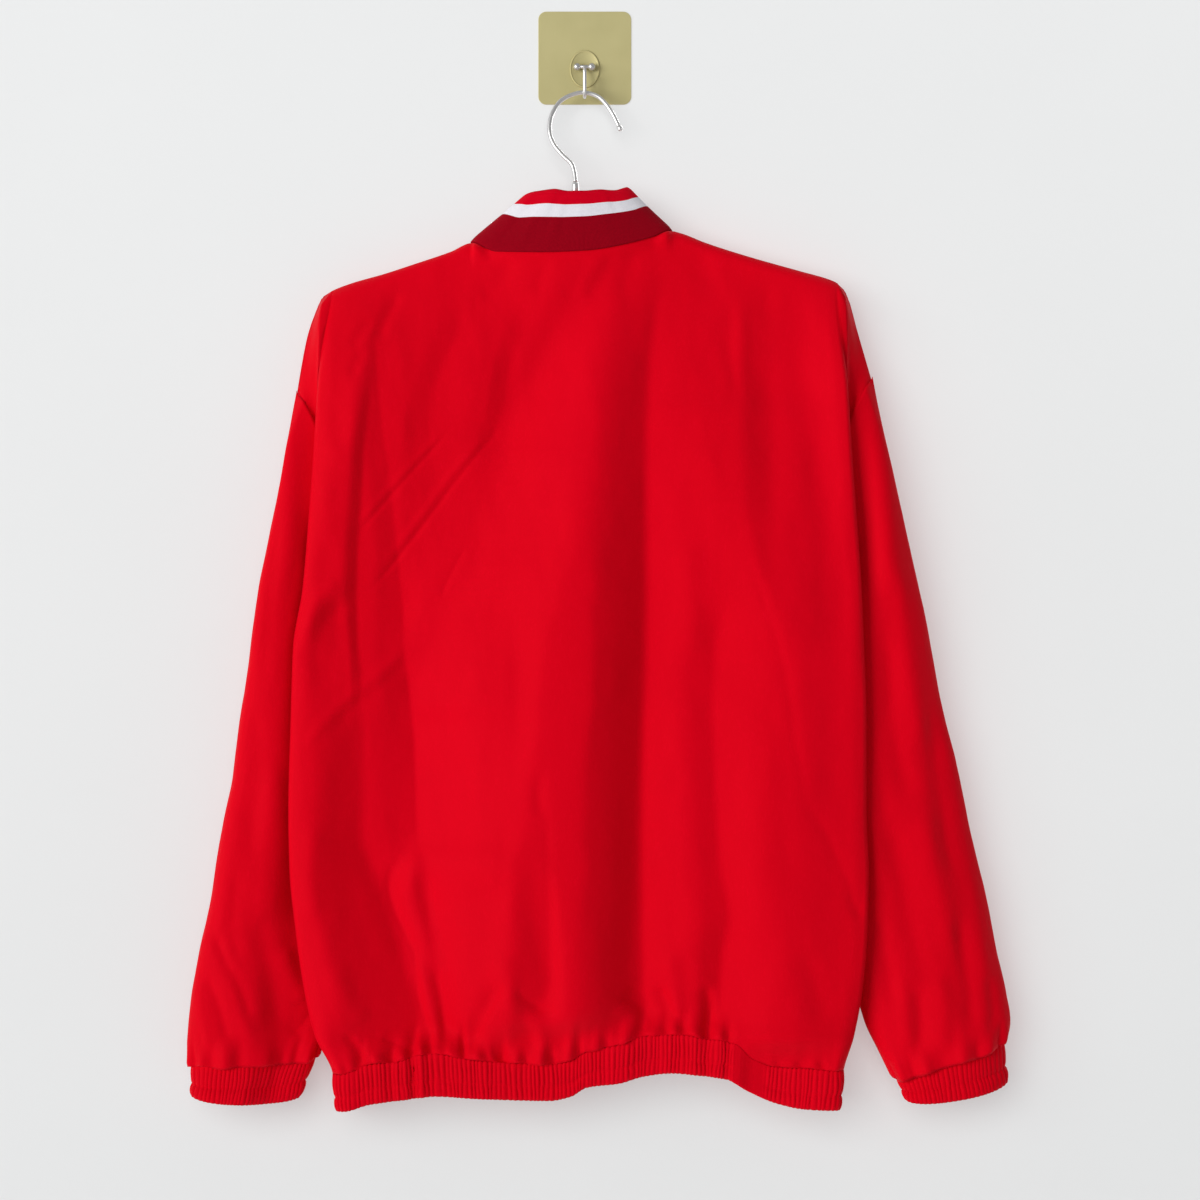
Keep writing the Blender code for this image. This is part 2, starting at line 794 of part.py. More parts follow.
def smooth_path(points, each):
    """Catmull-Rom curve through a few points."""
    pts = [np.asarray(p, float) for p in points]
    pts = [2 * pts[0] - pts[1]] + pts + [2 * pts[-1] - pts[-2]]
    out = []
    for i in range(1, len(pts) - 2):
        a, b, c, d = pts[i - 1:i + 3]
        for k in range(each):
            t = k / each
            out.append(0.5 * ((2 * b) + (c - a) * t + (2 * a - 5 * b + 4 * c - d) * t * t
                              + (3 * b - a - 3 * c + d) * t**3))
    out.append(pts[-2])
    return out


def hem_band(left, back, right):
    """Elastic band round the hem, open at the zip."""
    ring = list(left[-1][::-1]) + list(back[-1][1:]) + list(right[-1][::-1][1:])
    top = np.array(ring)
    top[:, 2] -= 2 * SEAM
    mid, low = top.copy(), top.copy()
    for i, p in enumerate(top):
        end = hem_z(p[0], 2)
        for g, t in ((mid, 0.5), (low, 1.0)):
            g[i][0] = p[0] + (zip_x(-900) - p[0]) * 0.012 * t
            g[i][1] = SIDE_Y + (p[1] - SIDE_Y) * (1 - 0.1 * t)
            g[i][2] = mix(p[2], end, t)
    for g, z in ((top, -870), (mid, -887), (low, -904)):
        g[0][0] = zip_x(z) - ZIP_HALF
        g[-1][0] = zip_x(z) + ZIP_HALF
    grid = np.array([top, mid, low])
    inner = grid.copy()
    n = len(ring)
    for r in range(3):
        for i in range(n):
            a, b = grid[r, max(i - 1, 0)], grid[r, min(i + 1, n - 1)]
            t = unit([b[0] - a[0], b[1] - a[1], 0])
            into = np.array([t[1], -t[0], 0])
            middle = np.array([4.0, SIDE_Y, 0])
            if np.dot(into, middle - grid[r, i] * [1, 1, 0]) < 0:
                into = -into
            if i in (0, n - 1):
                into = np.array([0, -1.0, 0])
            inner[r, i] = grid[r, i] + into * BAND
    wall("hem_band", grid, inner, RED, 0.6)
    return grid


COLLAR_ROWS = (0, 0.28, 0.56, 0.77, 1)      # stripe borders at 0.56 and 0.77


def collar(left, back, right):
    """Knitted stand collar, narrower towards its edge, open at the zip.

    left, back and right are the panels' top points before their seam gaps.
    """
    ring = []
    for row, front in ((left[::-1], True), (back, False), (right[::-1], True)):
        for p in row:
            over_shoulder = p[0] < -97.1 or p[0] > 74.1
            known = ring and min(np.linalg.norm(q - p) for q, _ in ring) < 0.05
            if not over_shoulder and not known:
                ring.append((p.copy(), front))
    rows = []
    for t in COLLAR_ROWS:
        pts = []
        for p, front in ring:
            u = (p[0] - NECK_CX) / NECK_HALF
            behind = max(0.0, SEAM_Y - p[1]) / NECK_BACK
            z = mix(-119.5, -122.0 if u < 0 else -118.0, abs(u) ** 2)
            wide = 42.5
            if front:
                low = (-163.5 - p[2]) / NECK_DROP if u < 0 else (-153.2 - p[2]) / (NECK_DROP + 10.3)
                z -= max(0.0, low) * (-122.0 - (-187.5))
                wide = mix(42.5, 54.0, low)
            q = mix(p, np.array([-6.0 + u * wide, p[1] + 7.0 * behind, z]), t)
            q[1] -= math.sin(math.pi * t) * 1.5 * behind
            pts.append(q)
        rows.append(pts)
    grid = np.array(rows)
    n = grid.shape[1]
    for r in range(len(rows)):
        for i, s in ((0, -1), (-1, 1)):
            grid[r, i][0] = zip_x(grid[r, i][2]) + s * ZIP_HALF
    nrm = face_normals(grid)
    if nrm[2, n // 2][1] < 0:
        nrm = -nrm
    inner = grid + nrm * RIB
    base = grid[0].copy()
    for i in range(n):
        p, want = base[i], -1 if ring[i][1] else 1
        if min(abs(p[0] + 97), abs(p[0] - 74)) < 0.1:
            into = np.array([math.copysign(0.94, NECK_CX - p[0]), 0.0, -0.34])
            away = np.array([math.copysign(1.0, p[0] - NECK_CX), 0, -1.0])
        else:
            into, away = neck_seam_turn(p, base[max(i - 1, 0)], base[min(i + 1, n - 1)], want)
        inner[0, i] = p + into * RIB - away * SEAM
        grid[0, i] = p - away * SEAM
    for r in range(len(rows)):
        for i in (0, n - 1):
            inner[r, i] = grid[r, i] + np.array([0, -RIB, 0])
    wall("collar", grid, inner, (0.28, 0.004, 0.012), 0.8)
    return grid


def prism(name, outline, width, x, colour, rough, metal):
    """Outline in Y and Z, extruded along X about x."""
    n = len(outline)
    verts = [(x - width, a, b) for a, b in outline] + [(x + width, a, b) for a, b in outline]
    faces = [tuple(range(n)), tuple(range(n, 2 * n))]
    faces += [(i, (i + 1) % n, n + (i + 1) % n, n + i) for i in range(n)]
    return mesh_object(name, verts, faces, colour, rough, metal, False)


def join(body, cutters):
    for cutter in cutters:
        mod = body.modifiers.new(cutter.name, "BOOLEAN")
        mod.operation = "UNION"
        mod.solver = "EXACT"
        mod.object = cutter
        cutter.hide_render = True
        cutter.display_type = "WIRE"


ZIP_PROFILE = [  # across, out from the panel's face
    (-TAPE_HALF, -3.8), (TAPE_HALF, -3.8), (TAPE_HALF, -2.9), (COIL_HALF, -2.9),
    (COIL_HALF, -0.4), (-COIL_HALF, -0.4), (-COIL_HALF, -2.9), (-TAPE_HALF, -2.9),
]
SILVER = (0.62, 0.62, 0.63)


def zip_pieces(left, band, neck):
    """Closed zip from the hem edge to the collar, its slider and pull tab."""
    path = [band[2][0], band[1][0]]
    path += [p for p in left[::-1, -1]]
    path += [neck[r][0] for r in range(1, len(neck))]
    path = [np.array([zip_x(p[2]), p[1], p[2]]) for p in path]
    path[0][2] += 2.0
    top = path[-1][2]
    y_top = path[-1][1]
    while path[-2][2] > top - 13.0:
        path.pop(-2)
    a, b = path[-2], path[-1]
    t = (a[2] - (top - 12.6)) / (a[2] - b[2])
    path[-1] = mix(a, b, t)
    frames = []
    n = len(path)
    for i in range(n):
        d = unit(path[min(i + 1, n - 1)] - path[max(i - 1, 0)])
        v = unit(np.array([0, d[2], -d[1]]))
        frames.append((np.array([1.0, 0, 0]), v))
    swept("zip", path, ZIP_PROFILE, (0.55, 0.01, 0.02), 0.6, 0.0, frames)

    x, y, z = zip_x(top), y_top, top - 1.0
    slider = prism("zip_slider", [(y - 4.5, z - 11), (y + 0.7, z - 11), (y + 0.7, z - 16),
                                  (y + 1.8, z - 16), (y + 1.8, z), (y - 4.5, z)],
                   3.8, x, SILVER, 0.3, 1.0)
    ax = z - 7.0
    arch = [(y + 1.3, ax - 4.3), (y + 5.0, ax - 4.0), (y + 5.0, ax + 4.0), (y + 1.3, ax + 4.3),
            (y + 1.3, ax + 3.4), (y + 4.1, ax + 3.3), (y + 4.1, ax - 3.3), (y + 1.3, ax - 3.4)]
    join(slider, [prism("slider_arch", arch, 1.2, x, SILVER, 0.3, 1.0)])

    # pull tab, its bar through the arch; the origin lies on the bar's axis
    out = [(-3.5, 0.7), (3.5, 0.7), (3.5, -5), (3.5, -21), (2, -24), (-2, -24), (-3.5, -21),
           (-3.5, -5), (-1.7, -0.7), (1.7, -0.7), (1.7, -5), (-1.7, -5)]
    verts = [(a, -0.65, b) for a, b in out] + [(a, 0.65, b) for a, b in out]
    caps = [(0, 1, 9, 8), (1, 2, 10, 9), (7, 0, 8, 11), (7, 11, 10, 2, 3, 4, 5, 6)]
    faces = caps + [tuple(i + 12 for i in c) for c in caps]
    for loop in ((0, 1, 2, 3, 4, 5, 6, 7), (8, 9, 10, 11)):
        for i, j in zip(loop, loop[1:] + loop[:1]):
            faces.append((i, j, j + 12, i + 12))
    tab = mesh_object("zip_pull", verts, faces, SILVER, 0.3, 1.0, False)
    tab.location = (x * MM, (y + 2.95) * MM, ax * MM)
    return x, y + 2.95, ax


HANGER = [  # x, z of the arms' middle line, half height
    (-213, -213.6, 5.0),
    (-206, -210.6, 6.8),
    (-172, -201.6, 7.5),
    (-97, -177.8, 8.0),
    (-40, -159.0, 8.5),
    (-8, -149.0, 9.0),
    (30, -155.0, 8.5),
    (74, -168.0, 8.0),
    (142, -188.0, 7.5),
    (200, -203.0, 6.8),
    (207, -205.4, 5.0),
]
HOOK = [  # x, z along the wire, from the ferrule to its tip
    (-8, -111), (-8.8, -103), (-11.5, -95), (-19.5, -87), (-26.5, -78),
    (-30, -68.5), (-30, -58), (-27, -48.5), (-21, -39.8), (-12, -34.3),
    (-1.5, -31.9), (9, -34.3), (16, -39.5), (23.5, -50), (31, -65.3),
]
WIRE = 1.9


def hanger():
    path, rings = [], []
    for x, z, h in HANGER:
        path.append(np.array([x, SEAM_Y, z]))
    frames = rod_frames(path, (0, 1, 0))
    verts, faces = [], []
    m = 12
    for i, (x, z, h) in enumerate(HANGER):
        u, v = frames[i]
        deep = 5.6 if h > 6 else 4.0
        for a, b in circle(1.0, m):
            verts.append(path[i] + u * a * deep + v * b * h)
    for i in range(len(HANGER) - 1):
        for k in range(m):
            a, b = i * m + k, i * m + (k + 1) % m
            faces.append((a, b, b + m, a + m))
    faces.append(tuple(range(m)))
    faces.append(tuple((len(HANGER) - 1) * m + k for k in range(m)))
    mesh_object("hanger", verts, faces, (0.05, 0.05, 0.05), 0.4)

    pts = [(x, -17.0 - 17.0 * (-31.9 - z) / 80.0 if z < -31.9 else -17.0, z) for x, z in HOOK]
    wire = smooth_path(pts, 2)
    swept("hanger_hook", wire, circle(WIRE, 8), SILVER, 0.25, 1.0,
          rod_frames(wire, (0, 1, 0)))
    low, high = np.array([-8, SEAM_Y, -139.6]), np.array([-8, SEAM_Y, -111.4])
    swept("ferrule", [low, high], circle(3.1, 12), SILVER, 0.3, 1.0)


PLATE = 80.6
PLATE_THICK = 1.5
PLATE_CORNER = 7.0


def wall_mount():
    pts = []
    h = PLATE / 2 - PLATE_CORNER
    for cx, cz, a0 in ((h, h, 0), (-h, h, 90), (-h, -h, 180), (h, -h, 270)):
        for k in range(5):
            a = math.radians(a0 + 22.5 * k)
            pts.append((cx + PLATE_CORNER * math.cos(a), cz + PLATE_CORNER * math.sin(a)))
    n = len(pts)
    verts = [(a, 0.0, b) for a, b in pts] + [(a, -PLATE_THICK, b) for a, b in pts]
    faces = [tuple(range(n)), tuple(range(n, 2 * n))]
    faces += [(i, (i + 1) % n, n + (i + 1) % n, n + i) for i in range(n)]
    gold = (0.47, 0.42, 0.21)
    mesh_object("wall_plate", verts, faces, gold, 0.35, 0.9, True)

    # low oval boss behind the hook
    n = 28
    rings = []
    for scale, y in ((1.0, -PLATE_THICK - PLY), (1.0, -2.3), (0.94, -2.8)):
        rings.append([(13.0 * scale * math.cos(2 * math.pi * k / n), y,
                       -9.6 + 16.4 * scale * math.sin(2 * math.pi * k / n)) for k in range(n)])
    verts = [p for r in rings for p in r]
    faces = [tuple(range(n)), tuple(range(2 * n, 3 * n))]
    for r in range(2):
        faces += [(r * n + i, r * n + (i + 1) % n, (r + 1) * n + (i + 1) % n, (r + 1) * n + i)
                  for i in range(n)]
    mesh_object("hook_boss", verts, faces, gold, 0.35, 0.9, True)

    # hook: a bent rod on a pin with a ball at each end
    route = [(-6.6, -9.5), (-10.2, -14), (-11.5, -22), (-11.8, -30), (-13.6, -34.4),
             (-17.2, -36.0), (-20.8, -34.4), (-22.6, -30), (-22.9, -22), (-22.6, -13)]
    rod = smooth_path([(0.0, y, z) for y, z in route], 2)
    hook = swept("wall_hook", rod, circle(1.6, 8), SILVER, 0.25, 1.0,
                 rod_frames(rod, (1, 0, 0)))
    pin = swept("hook_pin", [np.array([-6.6, -6.6, -8.3]), np.array([6.0, -6.6, -8.3])],
                circle(1.7, 10), SILVER, 0.25, 1.0,
                [(np.array([0, 1.0, 0]), np.array([0, 0, 1.0]))] * 2)
    balls = []
    for name, x in (("hook_ball_left", -6.6), ("hook_ball_right", 6.0)):
        me = bpy.data.meshes.new(name)
        bm = bmesh.new()
        bmesh.ops.create_uvsphere(bm, u_segments=12, v_segments=8, radius=3.4 * MM)
        bmesh.ops.translate(bm, verts=bm.verts, vec=(x * MM, -6.6 * MM, -8.3 * MM))
        bm.to_mesh(me)
        bm.free()
        ob = bpy.data.objects.new(name, me)
        bpy.context.scene.collection.objects.link(ob)
        balls.append(ob)
    join(hook, [pin] + balls)


def main():
    clear_scene()
    # columns across: closer together at the outer folds
    left = [-1, -0.975, -0.94, -0.89, -0.8, -0.7, -0.6, -0.52]
    neck = spread(NECK_L, NECK_R, 9)
    right = [0.43, 0.52, 0.61, 0.7, 0.8, 0.89, 0.94, 0.975, 1]
    back, back_top = panel("back", True, FOLDS_BACK, left + neck + right)

    zl = (zip_x(-235) - ZIP_HALF) / TIP_EDGE
    zr = (zip_x(-235) + ZIP_HALF) / TIP_EDGE
    nl = [NECK_L, -0.4438, -0.4364, -0.41, -0.34, -0.24, -0.13]
    nr = [0.03, 0.14, 0.235, 0.305, 0.3318, 0.3387, NECK_R]
    front_l, left_top = panel("front_left", False, FOLDS_FRONT, left + nl + [zl], -1)
    front_r, right_top = panel("front_right", False, FOLDS_FRONT, [zr] + nr + right, 1)
    sleeve("sleeve_left", "cuff_left", -1, SLEEVE_L, CUFF_L)
    sleeve("sleeve_right", "cuff_right", 1, SLEEVE_R, CUFF_R)
    band = hem_band(front_l, back, front_r)
    ring = collar(left_top, back_top, right_top)
    zip_pieces(front_l, band, ring)
    hanger()
    wall_mount()


main()
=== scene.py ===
"""Windbreaker on a hanger, hung back outwards from a small wall hook.

Frame: metres, +Z up.  The wall is the plane y = 0; the garment's back faces
-Y, its zipped front faces the wall, and the wearer's left is -X.
Tables are in millimetres and become metres when a mesh is made.
"""
import math

import bpy
import bmesh
import numpy as np
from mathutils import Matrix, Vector


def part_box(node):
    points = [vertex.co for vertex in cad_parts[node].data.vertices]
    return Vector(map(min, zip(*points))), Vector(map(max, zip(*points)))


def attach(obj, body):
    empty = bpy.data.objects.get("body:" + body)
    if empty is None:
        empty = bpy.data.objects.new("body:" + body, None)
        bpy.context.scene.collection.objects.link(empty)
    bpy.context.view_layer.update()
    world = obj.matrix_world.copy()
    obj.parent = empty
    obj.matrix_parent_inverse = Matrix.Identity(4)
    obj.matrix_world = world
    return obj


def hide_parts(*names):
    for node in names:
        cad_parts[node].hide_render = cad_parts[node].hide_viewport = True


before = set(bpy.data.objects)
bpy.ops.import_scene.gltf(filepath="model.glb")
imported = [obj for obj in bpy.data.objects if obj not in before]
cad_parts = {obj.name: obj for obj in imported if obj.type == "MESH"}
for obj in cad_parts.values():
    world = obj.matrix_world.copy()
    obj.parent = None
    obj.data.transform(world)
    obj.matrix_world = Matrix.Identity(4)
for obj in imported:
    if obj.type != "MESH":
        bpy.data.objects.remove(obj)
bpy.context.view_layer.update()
BODY = "garment_and_hanger"
TAB = "pull_tab"
MM = 0.001

# ------------------------------------------------------------------ the cut
SEAM_Y = -34.0
OVER_ARM = 9.0
TIP_EDGE = 217.0
SIDE_Y = -45.0
NECK_CX = -11.4
NECK_HALF = 85.6
NECK_BACK = 20.0
NECK_FRONT = 9.5
NECK_DROP = 74.0
ROLL = 14.0
ROLL_BACK = 7.0
ROLL_FRONT = 5.0
ZIP_HALF = 4.2
TAPE_HALF = 13.0
COIL_HALF = 2.7
NECK_L = -97 / TIP_EDGE
NECK_R = 74 / TIP_EDGE

EDGE = [  # z,   left, right, front
    (-205, 217, 217, 217), (-240, 222, 219, 216), (-285, 227, 224, 215),
    (-340, 230, 227, 215), (-400, 234, 231, 217), (-460, 239, 235, 220),
    (-510, 247, 237, 223), (-570, 249, 239, 226), (-650, 251, 239, 228),
    (-700, 250, 241, 228), (-750, 245, 240, 226), (-800, 238, 236, 222),
    (-840, 229, 229, 219), (-875, 214, 220, 214),
]
DEPTH = [  # z,  back, front
    (-160, -60, -25), (-250, -72, -19), (-340, -80, -14), (-450, -84, -12),
    (-650, -85, -11.5), (-780, -83, -12), (-850, -78, -16), (-905, -71, -20),
]
SHOULDER_L = [
    (-97, -163.5), (-115, -171), (-146, -181.5), (-172, -190), (-200, -198),
    (-217, -204.7), (-225, -210), (-231, -223), (-238, -245), (-246, -291),
]
SHOULDER_R = [
    (74, -153.2), (84, -155.5), (103, -163), (142, -175.5), (185, -187.6),
    (209, -194.4), (217, -198), (223, -204), (228, -216), (233, -236),
    (245, -279),
]
NECK_SEAM = [
    (-97, -163.5), (-76, -172), (-36, -173), (2, -171.5), (34, -166),
    (59, -159), (74, -153.2),
]
ARMHOLE = [  # drop below the top, half width, y behind, y in front
    (0, 246, -43, -43), (10, 239, -53, -33), (34, 227, -58, -30),
    (69, 217, -59, -29), (107, 210, -59, -29), (144, 205, -59, -29),
    (177, 202, -57, -31), (203, 199, -52, -37), (219, 196, -45, -45),
]
SIDE = [  # z, left, right
    (-510, 196, 196), (-545, 186, 186), (-600, 180, 180), (-720, 180, 182),
    (-790, 190, 192), (-840, 203, 208), (-873, 208, 217),
]
HEM = [  # x, seam z, edge z
    (-208, -873, -905), (-185, -865, -899), (-155, -861, -895),
    (-127, -855, -892), (-90, -861, -894), (-30, -864, -895.5),
    (-12, -861, -892), (2, -853, -884), (30, -847, -880.5), (50, -840, -875),
    (75, -839, -872), (100, -841, -874), (122, -845, -877), (142, -860, -888),
    (165, -867, -898), (190, -868, -903), (217, -870, -904),
]
SLEEVE_L = [  # outer x, outer z, inner x, inner z, mid y, half depth
    (253, -336, 201, -518, -45, 13), (264, -395, 200, -526, -45, 15),
    (278, -466, 198, -542, -45, 17), (286, -523, 196, -563, -45, 19),
    (293, -566, 195, -592, -45, 19), (300, -622, 194, -634, -45, 19),
    (306, -651, 194, -664, -45, 19), (313, -688, 195, -700, -45, 19),
    (319, -727, 199, -737, -45, 19), (328, -770, 206, -776, -45, 19),
    (335, -812, 215, -814, -45, 19), (337, -845, 223, -841, -45, 18),
    (335, -868, 231, -860, -45, 17),
]
SLEEVE_R = [
    (257, -338, 201, -518, -45, 13), (270, -393, 200, -526, -45, 15),
    (281, -443, 199, -540, -45, 17), (293, -497, 198, -560, -45, 19),
    (304, -554, 200, -592, -45, 19), (318, -611, 205, -636, -45, 19),
    (325, -644, 209, -668, -45, 19), (332, -677, 213, -700, -45, 19),
    (344, -727, 220, -745, -45, 19), (352, -768, 228, -788, -45, 19),
    (361, -809, 240, -830, -45, 19), (363, -830, 254, -857, -45, 18),
    (358, -848, 267, -877, -45, 17),
]
CUFF_L = (336, -891, 243, -893, -45, 16, 8)
CUFF_R = (362, -881, 274, -895, -45, 16, 8)
TOP_ROWS = [0, 1.6, 5, 10, 21, 42, 72, 106, 145]

